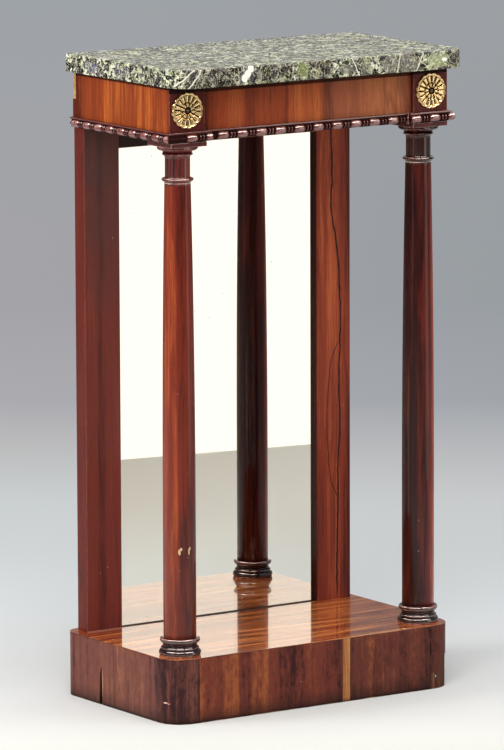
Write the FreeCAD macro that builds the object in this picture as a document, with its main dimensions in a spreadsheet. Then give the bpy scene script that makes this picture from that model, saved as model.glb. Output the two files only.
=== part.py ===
import FreeCAD, Part
import math
import os

import Sketcher
from FreeCAD import Placement, Rotation, Vector

# A pier table: a marble slab on a veneered frieze, two turned columns in front,
# two flat pilasters with a mirror between them behind, all standing on a plinth.
# X runs across the front, -Y faces the room and +Z is up. The origin lies on the
# floor, in the middle of the whole table.

doc = FreeCAD.newDocument("PierTable")
sheet = doc.addObject("Spreadsheet::Sheet", "Sizes")
sub_parts = []


class Length:
    """A size with its formula in the sheet's terms and its value in millimetres."""

    def __init__(self, text, value):
        self.text = text
        self.value = float(value)

    def combined(self, sign, other, value):
        """This size, an arithmetic sign and another size, as one new size."""
        return Length(f"({self.text} {sign} {other.text})", value)

    def __add__(self, other):
        other = length(other)
        return self.combined("+", other, self.value + other.value)

    def __sub__(self, other):
        other = length(other)
        return self.combined("-", other, self.value - other.value)

    def __mul__(self, other):
        other = length(other)
        return self.combined("*", other, self.value * other.value)

    def __truediv__(self, other):
        other = length(other)
        return self.combined("/", other, self.value / other.value)

    def __radd__(self, other):
        return length(other) + self

    def __rsub__(self, other):
        return length(other) - self

    def __rmul__(self, other):
        return length(other) * self

    def __neg__(self):
        return length(0) - self


def length(number):
    """A plain number as a Length; a Length stays what it is."""
    if isinstance(number, Length):
        return number
    return Length(str(number), number)


# ---------------------------------------------------------------- driving sizes
overall_height = 900
veneer = 1.2
slack = 0.1                       # all round a tenon in its mortise

marble_thickness = 25
marble_front_overhang = 39.5
marble_side_overhang = 10.5
marble_back_overhang = 2.5
marble_corner = 36
marble_arris = 1.2

frieze_width = 460
frieze_depth = 241
frieze_height = 77
block_width = 56.5                # the square corner blocks
panel_recess = 7.4                # front panel behind the block faces
rail_thickness = 20
panel_seam_left = -31.5           # veneer joints on the front panel
panel_seam_right = 27.5
veneer_loss_width = 7.5
veneer_loss_height = 38
soffit_thickness = 8
glue_block = 15
glue_block_length = 45

moulding_height = 14.5
moulding_projection = 8.5
bead_radius = 5.2
bead_foot = 0.8                   # from the moulding's foot to its beads
bead_pitch = 31.3                 # along the front
side_bead_pitch = 28.6            # along the sides
front_bead_lead = 14.1            # plain length before the first bead of each run
block_bead_lead = 24
side_bead_lead = 5.4
bead_length = 20
bead_neck = 3
reel_width = 3.4
strip_projection = 4.5
fillet_projection = 6
fillet_height = 2.6

column_inset = 30                 # column axis from the frieze's side
column_setback = 26.5             # column axis from the block's face
tenon_radius = 9
tenon_reach = 30                  # into the corner block
shaft_foot_radius = 22.5
shaft_top_radius = 18
shaft_straight = 185
base_height = 24.5
base_torus_radius = 28.8
base_torus_height = 9.5
base_scotia_radius = 23.4
base_ring_radius = 27.6
base_ring_height = 6
capital_height = 53.5
astragal_radius = 22.2
astragal_height = 4.6
astragal_lift = 5.5               # from the capital's foot
neck_radius = 17.2
collar_radius = 21.2
collar_height = 3.6
echinus_radius = 28.2
echinus_height = 5.6
abacus_width = 58
abacus_thickness = 6.5
abacus_arris = 0.5

pilaster_inset = 7.3              # from the frieze's side
pilaster_width = 56.7
pilaster_thickness = 25.5
pilaster_proud = 9                # its back stands behind the frieze
pilaster_arris = 0.6
glass_setback = 8.5               # glass behind the pilaster's face
glass_thickness = 4
rebate_width = 7
rebate_gap = 0.4                  # between glass, boards and rebate
slip_height = 2
slip_projection = 4
mirror_rail_height = 33
mirror_rail_setback = 1.5
mirror_rail_lap = 7               # of the rail over the glass
backboard_thickness = 8
back_fillet_width = 13

plinth_height = 90.5
plinth_side_step = 7.7            # beyond the frieze's sides
plinth_front_step = 11
plinth_back_step = 20.5
plinth_corner = 35
plinth_back_corner = 20
plinth_top_thickness = 12
plinth_board_thickness = 20
post_width = 45
skirt_lift = 0.5                  # worn foot of the plinth's veneers
plinth_seam_inset = 43.7          # veneer joint near the left corner, from the left side
filler_start = 45.7               # pale strip let into the front
filler_width = 11.8
loss_inset = 42.3                 # how far the right foot has lost veneer, from the right side
loss_height = 24
tall_loss_inset = 20.7
tall_loss_height = 46
crack_setback = 75.4              # a split in the left side, from the frieze's back
crack_width = 4.6                 # at the foot
crack_tip = 1                     # at its upper end
crack_height = 49
crack_depth = 9

tenon_thickness = 8
tenon_length = 14
tenon_shoulder = 12               # above and below a rail's tenon
pilaster_tenon_length = 40

rosette_radius = 24.7
rosette_lift = 43.5               # its centre above the frieze's foot
rosette_depth = 3.4
petal_length = 12
bud_radius = 2.2                  # the inner ring's small petals
bud_circle = 8
pin_radius = 1.4
pin_head_radius = 3
pin_length = 18


def fill_sheet(sizes):
    """Write each plain number into the sheet, under its own name, and give it its formula."""
    row = 0
    for name, value in list(sizes.items()):
        if isinstance(value, (int, float)):
            row += 1
            sheet.set(f"A{row}", name)
            sheet.set(f"B{row}", str(value))
            sheet.setAlias(f"B{row}", name)
            sizes[name] = Length(f"Sizes.{name}", value)


fill_sheet(globals())

petal_count = 16
inner_petal_count = 10
petal_fill = 0.94                 # share of its sector that a petal fills

# ----------------------------------------------------------- places worked out
frieze_side = frieze_width / 2
frieze_front = (marble_front_overhang - plinth_back_step - frieze_depth) / 2
frieze_back = frieze_front + frieze_depth
frieze_top = overall_height - marble_thickness
frieze_foot = frieze_top - frieze_height
panel_face = frieze_front + panel_recess
block_inner = frieze_side - block_width
block_back = frieze_front + block_width
core_side = frieze_side - veneer
side_rail_inner = core_side - rail_thickness
front_rail_back = panel_face + veneer + rail_thickness
back_rail_front = frieze_back - rail_thickness

column_x = frieze_side - column_inset
column_y = frieze_front + column_setback
base_top = plinth_height + base_height
abacus_foot = frieze_foot - abacus_thickness
shaft_top = abacus_foot - capital_height
shaft_straight_top = base_top + shaft_straight

pilaster_outer = frieze_side - pilaster_inset
pilaster_inner = pilaster_outer - pilaster_width
pilaster_back = frieze_back + pilaster_proud
pilaster_front = pilaster_back - pilaster_thickness
rebate_side = pilaster_inner + rebate_width
glass_front = pilaster_front + glass_setback
glass_back = glass_front + glass_thickness
board_front = glass_back + rebate_gap
board_back = board_front + backboard_thickness
mirror_rail_foot = frieze_foot - mirror_rail_height
glass_foot = plinth_height + slip_height
glass_top = mirror_rail_foot + mirror_rail_lap - rebate_gap
pane_side = rebate_side - rebate_gap

plinth_side = frieze_side + plinth_side_step
plinth_front = frieze_front - plinth_front_step
plinth_back = frieze_back + plinth_back_step
plinth_core_side = plinth_side - veneer
plinth_core_front = plinth_front + veneer
plinth_top_veneer_foot = plinth_height - veneer
plinth_top_foot = plinth_top_veneer_foot - plinth_top_thickness
post_inner = plinth_core_side - post_width
post_front_back = plinth_core_front + post_width
post_back_front = plinth_back - post_width
far = plinth_side + marble_side_overhang + frieze_depth   # past every face

SIDES = (("left", -1), ("right", 1))
UNTURNED = Rotation()
FACING_FRONT = Rotation(Vector(1, 0, 0), 90)         # turns +Z to -Y
FACING_BACK = Rotation(Vector(1, 0, 0), -90)         # turns +Z to +Y


def mirrored(side, low, high):
    """The span from low to high on the right, or its mirror image on the left."""
    if side > 0:
        return (length(low), length(high))
    return (-length(high), -length(low))


def about(centre, width):
    """The span of a width about its centre."""
    return (centre - width / 2, centre + width / 2)


def grown(span, clearance):
    """A span made longer by a clearance at both ends."""
    return (length(span[0]) - clearance, length(span[1]) + clearance)


def bind(feature, name, size):
    """Tie a property of a feature to a size's formula."""
    feature.setExpression(name, length(size).text)


def place(feature, at, rotation=None):
    """Put a feature at three sizes, turned by a fixed rotation."""
    values = [length(size).value for size in at]
    feature.Placement = Placement(Vector(*values), UNTURNED if rotation is None else rotation)
    for axis, size in zip("xyz", at):
        bind(feature, f"Placement.Base.{axis}", size)


class Piece:
    """One sub-part as a PartDesign body, whose own origin is at a point of the table.

    The spans given to its methods are in the table's frame, or in the body's own
    frame where the piece is turned.
    """

    def __init__(self, label, at=(0, 0, 0), rotation=None):
        self.body = doc.addObject("PartDesign::Body", label)
        self.body.Label = label
        self.at = at if rotation is None else (0, 0, 0)
        place(self.body, at, rotation)
        sub_parts.append(self.body)

    def plane(self, role):
        """One of the body's own origin planes or axes, such as XY_Plane."""
        for feature in self.body.Origin.OriginFeatures:
            if feature.Role == role:
                return feature
        raise ValueError(f"no origin feature {role}")

    def box(self, kind, spans):
        """An additive or subtractive box over three spans."""
        feature = self.body.newObject(f"PartDesign::{kind}Box", f"{kind}Box")
        place(feature, [length(low) - origin for (low, high), origin in zip(spans, self.at)])
        for name, (low, high) in zip(("Length", "Width", "Height"), spans):
            bind(feature, name, length(high) - low)
        return feature

    def add_box(self, spans):
        """Add a box."""
        return self.box("Additive", spans)

    def cut_box(self, spans, clearance=0):
        """Cut a box, grown on every side by a clearance."""
        return self.box("Subtractive", [grown(span, clearance) for span in spans])

    def bore(self, foot, depth, radius, rotation=UNTURNED):
        """Bore a round hole from its foot, upwards unless it is turned."""
        feature = self.body.newObject("PartDesign::SubtractiveCylinder", "Bore")
        place(feature, [length(size) - origin for size, origin in zip(foot, self.at)], rotation)
        bind(feature, "Height", depth)
        bind(feature, "Radius", radius)
        return feature

    def sketch(self, role, corners):
        """A closed sketch on an origin plane through corners joined by lines and arcs.

        A corner is (x, y), or (x, y, arc) where an arc leads on to the next corner.
        """
        sketch = self.body.newObject("Sketcher::SketchObject", "Outline")
        sketch.AttachmentSupport = [(self.plane(role), "")]
        sketch.MapMode = "FlatFace"
        points = [(length(corner[0]), length(corner[1])) for corner in corners]
        starts = []
        ends = []
        for number, corner in enumerate(corners):
            start = points[number]
            end = points[(number + 1) % len(points)]
            first, last = draw_edge(sketch, start, end, corner[2] if len(corner) > 2 else None)
            starts.append(first)
            ends.append(last)
        for number in range(len(corners)):
            following = starts[(number + 1) % len(corners)]
            sketch.addConstraint(Sketcher.Constraint("Coincident", *ends[number], *following))
        for (geometry, position), (x, y) in zip(starts, points):
            tie(sketch, "DistanceX", geometry, position, x)
            tie(sketch, "DistanceY", geometry, position, y)
        for number, corner in enumerate(corners):
            if len(corner) > 2:
                kind = "DistanceX" if corner[2].axis == "x" else "DistanceY"
                tie(sketch, kind, starts[number][0], CENTRE, corner[2].centre)
        return sketch

    def pad(self, corners, height, kind="Pad", reverse=False, role="XY_Plane"):
        """Pad or pocket an outline drawn on one of the body's own planes."""
        feature = self.body.newObject(f"PartDesign::{kind}", kind)
        feature.Profile = self.sketch(role, corners)
        feature.Reversed = reverse
        bind(feature, "Length", height)
        return feature

    def turned(self, corners, role="XZ_Plane", axis="Z_Axis"):
        """Revolve a half section: x is the radius and y the height along the axis."""
        feature = self.body.newObject("PartDesign::Revolution", "Revolution")
        feature.Profile = self.sketch(role, corners)
        feature.ReferenceAxis = (self.plane(axis), [""])
        feature.Angle = 360
        return feature

    def patterned(self, kind, features, axis, count, extent):
        """Repeat features along or around one of the body's own axes."""
        pattern = self.body.newObject(f"PartDesign::{kind}Pattern", f"{kind}Pattern")
        pattern.Originals = features
        if kind == "Linear":
            pattern.Direction = (self.plane(axis), [""])
            bind(pattern, "Length", extent)
        else:
            pattern.Axis = (self.plane(axis), [""])
            pattern.Angle = extent
        pattern.Occurrences = count
        self.body.Tip = pattern
        return pattern

    def soften(self, radius):
        """Round every edge that the body has so far."""
        base = self.body.Tip
        base.recompute()
        feature = self.body.newObject("PartDesign::Fillet", "Fillet")
        feature.Base = (base, ["Edge1"])
        feature.UseAllEdges = True
        bind(feature, "Radius", radius)
        self.body.Tip = feature
        return feature


class Arc:
    """How an arc leads from one corner to the next: one centre coordinate and a sense."""

    def __init__(self, axis, centre, clockwise=False):
        self.axis = axis
        self.centre = length(centre)
        self.clockwise = clockwise

    def middle(self, start, end):
        """The centre on the chord's perpendicular bisector."""
        chord_x = end[0] - start[0]
        chord_y = end[1] - start[1]
        half_x = (start[0] + end[0]) / 2
        half_y = (start[1] + end[1]) / 2
        if self.axis == "x":
            return (self.centre.value, half_y - (self.centre.value - half_x) * chord_x / chord_y)
        return (half_x - (self.centre.value - half_y) * chord_y / chord_x, self.centre.value)


START, END, CENTRE = range(1, 4)     # Sketcher's numbers for a line's or an arc's points
ORIGIN_POINT = (-1, 1)
AXES = {"DistanceX": -2, "DistanceY": -1}


def draw_edge(sketch, start, end, arc):
    """Draw a line or an arc; return the (geometry, position) of its start and end."""
    first = (start[0].value, start[1].value)
    last = (end[0].value, end[1].value)
    if arc is None:
        line = Part.LineSegment(Vector(*first, 0), Vector(*last, 0))
        geometry = sketch.addGeometry(line, False)
        return (geometry, START), (geometry, END)
    middle = arc.middle(first, last)
    radius = math.dist(middle, first)
    angles = [math.atan2(point[1] - middle[1], point[0] - middle[0]) for point in (first, last)]
    if arc.clockwise:
        angles.reverse()
    if angles[1] < angles[0]:
        angles[1] += 2 * math.pi
    circle = Part.Circle(Vector(*middle, 0), Vector(0, 0, 1), radius)
    geometry = sketch.addGeometry(Part.ArcOfCircle(circle, *angles), False)
    if arc.clockwise:
        return (geometry, END), (geometry, START)
    return (geometry, START), (geometry, END)


def tie(sketch, kind, geometry, position, size):
    """Tie one coordinate of a point to a size, or to the axis where the size is zero."""
    if size.text == "0":
        sketch.addConstraint(Sketcher.Constraint("PointOnObject", geometry, position, AXES[kind]))
        return
    number = sketch.addConstraint(
        Sketcher.Constraint(kind, *ORIGIN_POINT, geometry, position, size.value))
    sketch.setExpression(f"Constraints[{number}]", size.text)


def crown_centre(shoulder, crown, chord):
    """Where the centre of an arc lies, whose chord is at shoulder and whose top at crown."""
    rise = crown - shoulder
    return crown - (chord * chord / 4 + rise * rise) / (rise * 2)


def rounded_plan(side, front, back, front_radius, back_radius):
    """A plan with rounded corners, given about the body's own origin."""
    return [
        (-side + front_radius, front),
        (side - front_radius, front, Arc("x", side - front_radius)),
        (side, front + front_radius),
        (side, back - back_radius, Arc("x", side - back_radius)),
        (side - back_radius, back),
        (-side + back_radius, back, Arc("x", -side + back_radius)),
        (-side, back - back_radius),
        (-side, front + front_radius, Arc("x", -side + front_radius)),
    ]


def rounded_slab(label, side, front, back, front_radius, back_radius, foot, top):
    """A slab with rounded corners, from foot to top."""
    slab = Piece(label, (0, 0, foot))
    slab.pad(rounded_plan(side, front, back, front_radius, back_radius), top - foot)
    return slab


def box_group(label, groups):
    """Several separate boxes kept as one sub-part."""
    boxes = []
    for spans in groups:
        box = doc.addObject("Part::Box", "Block")
        place(box, [low for low, high in spans])
        for name, (low, high) in zip(("Length", "Width", "Height"), spans):
            bind(box, name, length(high) - low)
        boxes.append(box)
    group = doc.addObject("Part::Compound", label)
    group.Label = label
    group.Links = boxes
    sub_parts.append(group)
    return group


# ------------------------------------------------------- joints between pieces
rail_tenon_z = (frieze_foot + tenon_shoulder, frieze_top - tenon_shoulder)
board_tenon_z = (tenon_shoulder, plinth_top_foot - tenon_shoulder)
column_bore = tenon_radius + slack


def front_rail_tenon(side):
    """The front rail's tenon in the corner block."""
    depth = about(front_rail_back - rail_thickness / 2, tenon_thickness)
    return (mirrored(side, block_inner + veneer, block_inner + tenon_length), depth, rail_tenon_z)


def side_rail_tenon(side):
    """The side rail's tenon in the back of the corner block."""
    centre = core_side - rail_thickness / 2
    across = mirrored(side, centre - tenon_thickness / 2, centre + tenon_thickness / 2)
    return (across, (block_back - tenon_length, block_back), rail_tenon_z)


def back_rail_tenon(side):
    """The back rail's tenon in the side rail."""
    across = mirrored(side, side_rail_inner, side_rail_inner + tenon_length)
    return (across, about(frieze_back - rail_thickness / 2, tenon_thickness), rail_tenon_z)


def pilaster_tenon(side, low, high):
    """The pilaster's tenon between two heights."""
    across = mirrored(side, rebate_side, pilaster_outer - tenon_shoulder)
    return (across, about(frieze_back - rail_thickness / 2, tenon_thickness), (low, high))


def mirror_rail_tenon(side):
    """The mirror rail's tenon in the pilaster."""
    depth = (board_front, board_front + tenon_thickness)
    height = (mirror_rail_foot + mirror_rail_lap, frieze_foot - mirror_rail_lap)
    return (mirrored(side, rebate_side, rebate_side + tenon_length), depth, height)


def front_board_tenon(side, centre):
    """A long plinth board's tenon in its corner post."""
    across = mirrored(side, post_inner, post_inner + tenon_length)
    return (across, about(centre, tenon_thickness), board_tenon_z)


def side_board_tenon(side, low, high):
    """A plinth side board's tenon, in the span of a corner post."""
    centre = plinth_core_side - plinth_board_thickness / 2
    across = mirrored(side, centre - tenon_thickness / 2, centre + tenon_thickness / 2)
    return (across, (low, high), board_tenon_z)


front_board_centre = plinth_core_front + plinth_board_thickness / 2
back_board_centre = plinth_back - plinth_board_thickness / 2
upper_pilaster_tenon = (frieze_foot, frieze_foot + pilaster_tenon_length)
lower_pilaster_tenon = (plinth_top_foot, plinth_height)


# ------------------------------------------------------------------- the plinth
def corner_post(label, side, front, back, radius, outer_edge, tenons):
    """A plinth corner post, with one upright edge rounded to the plinth's plan.

    outer_edge is the post's face towards the front or the back of the table.
    """
    low, high = mirrored(side, post_inner, plinth_core_side)
    outer = high if side > 0 else low
    inner = low if side > 0 else high
    bend = outer - side * radius
    if outer_edge is front:
        corners = [(inner, front), (bend, front, Arc("x", bend, side < 0)),
                   (outer, front + radius), (outer, back), (inner, back)]
    else:
        corners = [(inner, back), (bend, back, Arc("x", bend, side > 0)),
                   (outer, back - radius), (outer, front), (inner, front)]
    post = Piece(label)
    post.pad(corners, plinth_top_foot)
    for spans in tenons:
        post.cut_box(spans, slack)


def plinth_posts():
    """The four corner posts."""
    for name, side in SIDES:
        corner_post(
            f"plinth_post_front_{name}", side, plinth_core_front, post_front_back,
            plinth_corner - veneer, plinth_core_front,
            [front_board_tenon(side, front_board_centre),
             side_board_tenon(side, post_front_back - tenon_length, post_front_back)])
        corner_post(
            f"plinth_post_back_{name}", side, post_back_front, plinth_back,
            plinth_back_corner - veneer, plinth_back,
            [front_board_tenon(side, back_board_centre),
             side_board_tenon(side, post_back_front, post_back_front + tenon_length)])


def cut_crack(piece, inwards):
    """Cut the split in the plinth's left side: a narrow wedge, widest at its foot.

    inwards tells whether the piece lies inside its own origin, where the cut is shallow,
    or outside it, where the cut goes right through.
    """
    _, origin_y, origin_z = (length(size) for size in piece.at)
    back = frieze_back - crack_setback + crack_width - origin_y
    front = back - crack_width
    foot = -veneer - origin_z
    top = crack_height - origin_z
    wedge = [(front, foot), (back, foot), (front + crack_tip, top), (front, top)]
    piece.pad(wedge, crack_depth if inwards else far, "Pocket", inwards, "YZ_Plane")


def plinth_boards():
    """The four boards between the posts, each with a tenon at both ends."""
    for name, centre in (("front", front_board_centre), ("back", back_board_centre)):
        depth = about(centre, plinth_board_thickness)
        board = Piece(f"plinth_{name}_board", (-post_inner, depth[0], 0))
        board.add_box(((-post_inner, post_inner), depth, (0, plinth_top_foot)))
        for _, side in SIDES:
            board.add_box(front_board_tenon(side, centre))
    for name, side in SIDES:
        across = mirrored(side, plinth_core_side - plinth_board_thickness, plinth_core_side)
        board = Piece(f"plinth_side_board_{name}", (across[0], post_front_back, 0))
        board.add_box((across, (post_front_back, post_back_front), (0, plinth_top_foot)))
        board.add_box(side_board_tenon(side, post_front_back - tenon_length, post_front_back))
        board.add_box(side_board_tenon(side, post_back_front, post_back_front + tenon_length))
        if side < 0:
            cut_crack(board, True)


def cut_plinth_mortises(slab):
    """Holes through the plinth's top for the columns and the pilasters."""
    through = (plinth_top_foot - slack, plinth_height + slack)
    for _, side in SIDES:
        slab.bore((side * column_x, column_y, through[0]), through[1] - through[0], column_bore)
        slab.cut_box(pilaster_tenon(side, *lower_pilaster_tenon), slack)


def plinth_top():
    """The top board, and the veneer that covers it and shows its edge."""
    board = rounded_slab(
        "plinth_top_board", plinth_core_side, plinth_core_front, plinth_back,
        plinth_corner - veneer, plinth_back_corner - veneer,
        plinth_top_foot, plinth_top_veneer_foot)
    cut_plinth_mortises(board)
    sheet_of_veneer = rounded_slab(
        "plinth_top_veneer", plinth_side, plinth_front, plinth_back,
        plinth_corner, plinth_back_corner, plinth_top_veneer_foot, plinth_height)
    cut_plinth_mortises(sheet_of_veneer)


def plinth_skin(label, low, high, losses=()):
    """The veneer round the plinth between two places along X, less its losses."""
    skin = rounded_slab(
        label, plinth_side, plinth_front, plinth_back, plinth_corner, plinth_back_corner,
        skirt_lift, plinth_top_veneer_foot)
    core = rounded_plan(plinth_core_side, plinth_core_front, plinth_back,
                        plinth_corner - veneer, plinth_back_corner - veneer)
    skin.pad(core, far, "Pocket", True)
    whole = (-far, far)
    skin.cut_box((about(0, 2 * (plinth_side - plinth_back_corner)),
                  (plinth_back - veneer * 2, plinth_back + veneer), whole))
    if low is not None:
        skin.cut_box(((-far, low), whole, whole))
    if high is not None:
        skin.cut_box(((high, far), whole, whole))
    for spans in losses:
        skin.cut_box(spans)
    return skin


def plinth_skins():
    """The sheets of veneer round the plinth and the pale strip let into its front."""
    filler_end = filler_start + filler_width
    corner_depth = (plinth_front - veneer, plinth_front + plinth_corner)
    foot = ((plinth_side - loss_inset, far), corner_depth, (-veneer, loss_height))
    tall = ((plinth_side - tall_loss_inset, far), corner_depth, (-veneer, tall_loss_height))
    seam = plinth_seam_inset - plinth_side
    cut_crack(plinth_skin("plinth_veneer_left", None, seam), False)
    plinth_skin("plinth_veneer_front", seam, filler_start)
    plinth_skin("plinth_filler_strip", filler_start, filler_end)
    plinth_skin("plinth_veneer_right", filler_end, None, (foot, tall))


def plinth_blocks():
    """Glue blocks under the top board, against the front and back boards."""
    inner_front = plinth_core_front + plinth_board_thickness
    inner_back = plinth_back - plinth_board_thickness
    height = (plinth_top_foot - glue_block, plinth_top_foot)
    groups = []
    for across in (-post_inner / 2, length(0), post_inner / 2):
        span = about(across, glue_block_length)
        groups.append((span, (inner_front, inner_front + glue_block), height))
        groups.append((span, (inner_back - glue_block, inner_back), height))
    box_group("plinth_glue_blocks", groups)


# ------------------------------------------------------------------ the columns
def column_base(name, side):
    """The turned base: torus, scotia and upper ring round a bore for the tenon."""
    ring_foot = base_height - base_ring_height
    torus_shoulder = base_torus_radius - base_torus_height / 4
    torus_centre = crown_centre(torus_shoulder, base_torus_radius, base_torus_height)
    scotia_middle = (base_torus_height + ring_foot) / 2
    ring_shoulder = base_ring_radius - base_ring_height / 2
    base = Piece(f"column_base_{name}", (side * column_x, column_y, plinth_height))
    base.turned([
        (column_bore, 0),
        (torus_shoulder, 0, Arc("x", torus_centre)),
        (torus_shoulder, base_torus_height),
        (base_ring_radius - 1, base_torus_height),
        (base_scotia_radius, scotia_middle),
        (base_scotia_radius, ring_foot),
        (ring_shoulder, ring_foot, Arc("x", ring_shoulder)),
        (ring_shoulder, base_height),
        (column_bore, base_height),
    ])


def column_shaft(name, side):
    """The shaft: straight below, drawn in above, with a round tenon at each end.

    The drawn-in part is one large arc that starts upright.
    """
    rise = shaft_top - shaft_straight_top
    fall = shaft_foot_radius - shaft_top_radius
    sweep = (rise * rise + fall * fall) / (fall * 2)
    shaft = Piece(f"column_shaft_{name}", (side * column_x, column_y, 0))
    shaft.turned([
        (0, plinth_top_foot),
        (tenon_radius, plinth_top_foot),
        (tenon_radius, base_top),
        (shaft_foot_radius, base_top),
        (shaft_foot_radius, shaft_straight_top, Arc("x", shaft_foot_radius - sweep)),
        (shaft_top_radius, shaft_top),
        (tenon_radius, shaft_top),
        (tenon_radius, frieze_foot + tenon_reach),
        (0, frieze_foot + tenon_reach),
    ])


def column_capital(name, side):
    """The turned capital: astragal, neck, collar and echinus round a bore."""
    astragal_shoulder = astragal_radius - astragal_height / 2
    astragal_top = astragal_lift + astragal_height
    echinus_foot = capital_height - echinus_height
    echinus_shoulder = echinus_radius - echinus_height / 2
    collar_top = echinus_foot - collar_height
    collar_foot = collar_top - collar_height
    collar_shoulder = collar_radius - collar_height / 2
    capital = Piece(f"column_capital_{name}", (side * column_x, column_y, shaft_top))
    capital.turned([
        (column_bore, 0),
        (shaft_top_radius, 0),
        (shaft_top_radius, astragal_lift / 2),
        (astragal_shoulder, astragal_lift, Arc("x", astragal_shoulder)),
        (astragal_shoulder, astragal_top),
        (neck_radius, astragal_top),
        (neck_radius, collar_foot),
        (collar_shoulder, collar_foot, Arc("x", collar_shoulder)),
        (collar_shoulder, collar_top),
        (echinus_shoulder, echinus_foot, Arc("x", echinus_shoulder)),
        (echinus_shoulder, capital_height),
        (column_bore, capital_height),
    ])


def column_abacus(name, side):
    """The square slab between the capital and the frieze."""
    across = mirrored(side, *about(column_x, abacus_width))
    depth = about(column_y, abacus_width)
    abacus = Piece(f"column_abacus_{name}", (across[0], depth[0], abacus_foot))
    abacus.add_box((across, depth, (abacus_foot, frieze_foot)))
    abacus.soften(abacus_arris)
    abacus.bore((side * column_x, column_y, abacus_foot - slack), abacus_thickness + slack * 2,
                column_bore)


# ------------------------------------------------- the pilasters and the mirror
def pilasters():
    """The two pilasters, rebated for the glass, and the veneer on their faces."""
    for name, side in SIDES:
        across = mirrored(side, pilaster_inner, pilaster_outer)
        height = (plinth_height, frieze_foot)
        stile = Piece(f"pilaster_{name}", (across[0], pilaster_front + veneer, plinth_height))
        stile.add_box((across, (pilaster_front + veneer, pilaster_back), height))
        stile.soften(pilaster_arris)
        rebate = mirrored(side, pilaster_inner - slack, rebate_side)
        stile.cut_box((rebate, (glass_front - slack, pilaster_back + slack),
                       (plinth_height - slack, frieze_foot + slack)))
        stile.add_box(pilaster_tenon(side, *upper_pilaster_tenon))
        stile.add_box(pilaster_tenon(side, *lower_pilaster_tenon))
        stile.cut_box(mirror_rail_tenon(side), slack)
        face = Piece(f"pilaster_veneer_{name}", (across[0], pilaster_front, plinth_height))
        face.add_box((across, (pilaster_front, pilaster_front + veneer), height))


def mirror_rail():
    """The rail over the glass, lapped into the rebates and tenoned to the pilasters."""
    front = pilaster_front + mirror_rail_setback
    height = (mirror_rail_foot, frieze_foot)
    inner = pilaster_inner - slack
    rail = Piece("mirror_top_rail", (-inner, front, mirror_rail_foot))
    rail.add_box(((-inner, inner), (front, board_back), height))
    for _, side in SIDES:
        rail.add_box((mirrored(side, inner - veneer, rebate_side),
                      (board_front, board_back), height))
        rail.add_box(mirror_rail_tenon(side))
    rail.cut_box(((-rebate_side, rebate_side), (glass_front - slack, board_back + slack),
                  (mirror_rail_foot - slack, mirror_rail_foot + mirror_rail_lap)))


def mirror():
    """The glass on its slip, the boards behind it and the fillets that hold them."""
    slip_depth = (glass_front - slip_projection, board_back)
    slip = Piece("mirror_bottom_slip", (-pilaster_inner, slip_depth[0], plinth_height))
    slip.add_box(((-pilaster_inner, pilaster_inner), slip_depth, (plinth_height, glass_foot)))
    glass = Piece("mirror_glass", (-pane_side, glass_front, glass_foot))
    glass.add_box(((-pane_side, pane_side), (glass_front, glass_back), (glass_foot, glass_top)))
    for name, side in SIDES:
        across = mirrored(side, 0, pane_side)
        board = Piece(f"mirror_backboard_{name}", (across[0], board_front, glass_foot))
        board.add_box((across, (board_front, board_back), (glass_foot, glass_top)))
        across = mirrored(side, rebate_side - back_fillet_width, rebate_side)
        fillet = Piece(f"mirror_back_fillet_{name}", (across[0], board_back, glass_foot))
        fillet.add_box((across, (board_back, pilaster_back), (glass_foot, mirror_rail_foot)))


# ------------------------------------------------------------------- the frieze
def corner_blocks():
    """The two blocks over the columns, with holes for tenons and the rosette's pin."""
    for name, side in SIDES:
        across = mirrored(side, block_inner + veneer, core_side)
        depth = (frieze_front + veneer, block_back)
        block = Piece(f"frieze_corner_block_{name}", (across[0], depth[0], frieze_foot))
        block.add_box((across, depth, (frieze_foot, frieze_top)))
        block.bore((side * column_x, column_y, frieze_foot - slack), tenon_reach + slack * 2,
                   column_bore)
        block.cut_box(front_rail_tenon(side), slack)
        block.cut_box(side_rail_tenon(side), slack)
        cut_pin_hole(block, side)


def frieze_rails():
    """The front, side and back rails of the frieze."""
    height = (frieze_foot, frieze_top)
    inner = block_inner + veneer
    depth = (panel_face + veneer, front_rail_back)
    front = Piece("frieze_front_rail", (-inner, depth[0], frieze_foot))
    front.add_box(((-inner, inner), depth, height))
    depth = (back_rail_front, frieze_back)
    back = Piece("frieze_back_rail", (-side_rail_inner, depth[0], frieze_foot))
    back.add_box(((-side_rail_inner, side_rail_inner), depth, height))
    for name, side in SIDES:
        front.add_box(front_rail_tenon(side))
        back.add_box(back_rail_tenon(side))
        across = mirrored(side, side_rail_inner, core_side)
        rail = Piece(f"frieze_side_rail_{name}", (across[0], block_back, frieze_foot))
        rail.add_box((across, (block_back, frieze_back), height))
        rail.add_box(side_rail_tenon(side))
        rail.cut_box(back_rail_tenon(side), slack)
        rail.cut_box(pilaster_tenon(side, *upper_pilaster_tenon), slack)
    for _, side in SIDES:
        back.cut_box(pilaster_tenon(side, *upper_pilaster_tenon), slack)


def soffit():
    """The board that closes the frieze underneath, and the glue blocks on it."""
    height = (frieze_foot, frieze_foot + soffit_thickness)
    front = front_rail_back + slack
    back = back_rail_front - slack
    wide = side_rail_inner - slack
    narrow = block_inner + veneer - slack
    middle = block_back + slack
    board = Piece("frieze_soffit_board", (-wide, front, frieze_foot))
    board.add_box(((-wide, wide), (middle, back), height))
    board.add_box(((-narrow, narrow), (front, middle), height))
    foot = frieze_foot + soffit_thickness
    groups = []
    for across in (-block_inner / 2, length(0), block_inner / 2):
        span = about(across, glue_block_length)
        rise = (foot, foot + glue_block)
        groups.append((span, (front_rail_back, front_rail_back + glue_block), rise))
        groups.append((span, (back_rail_front - glue_block, back_rail_front), rise))
    box_group("frieze_glue_blocks", groups)


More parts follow.
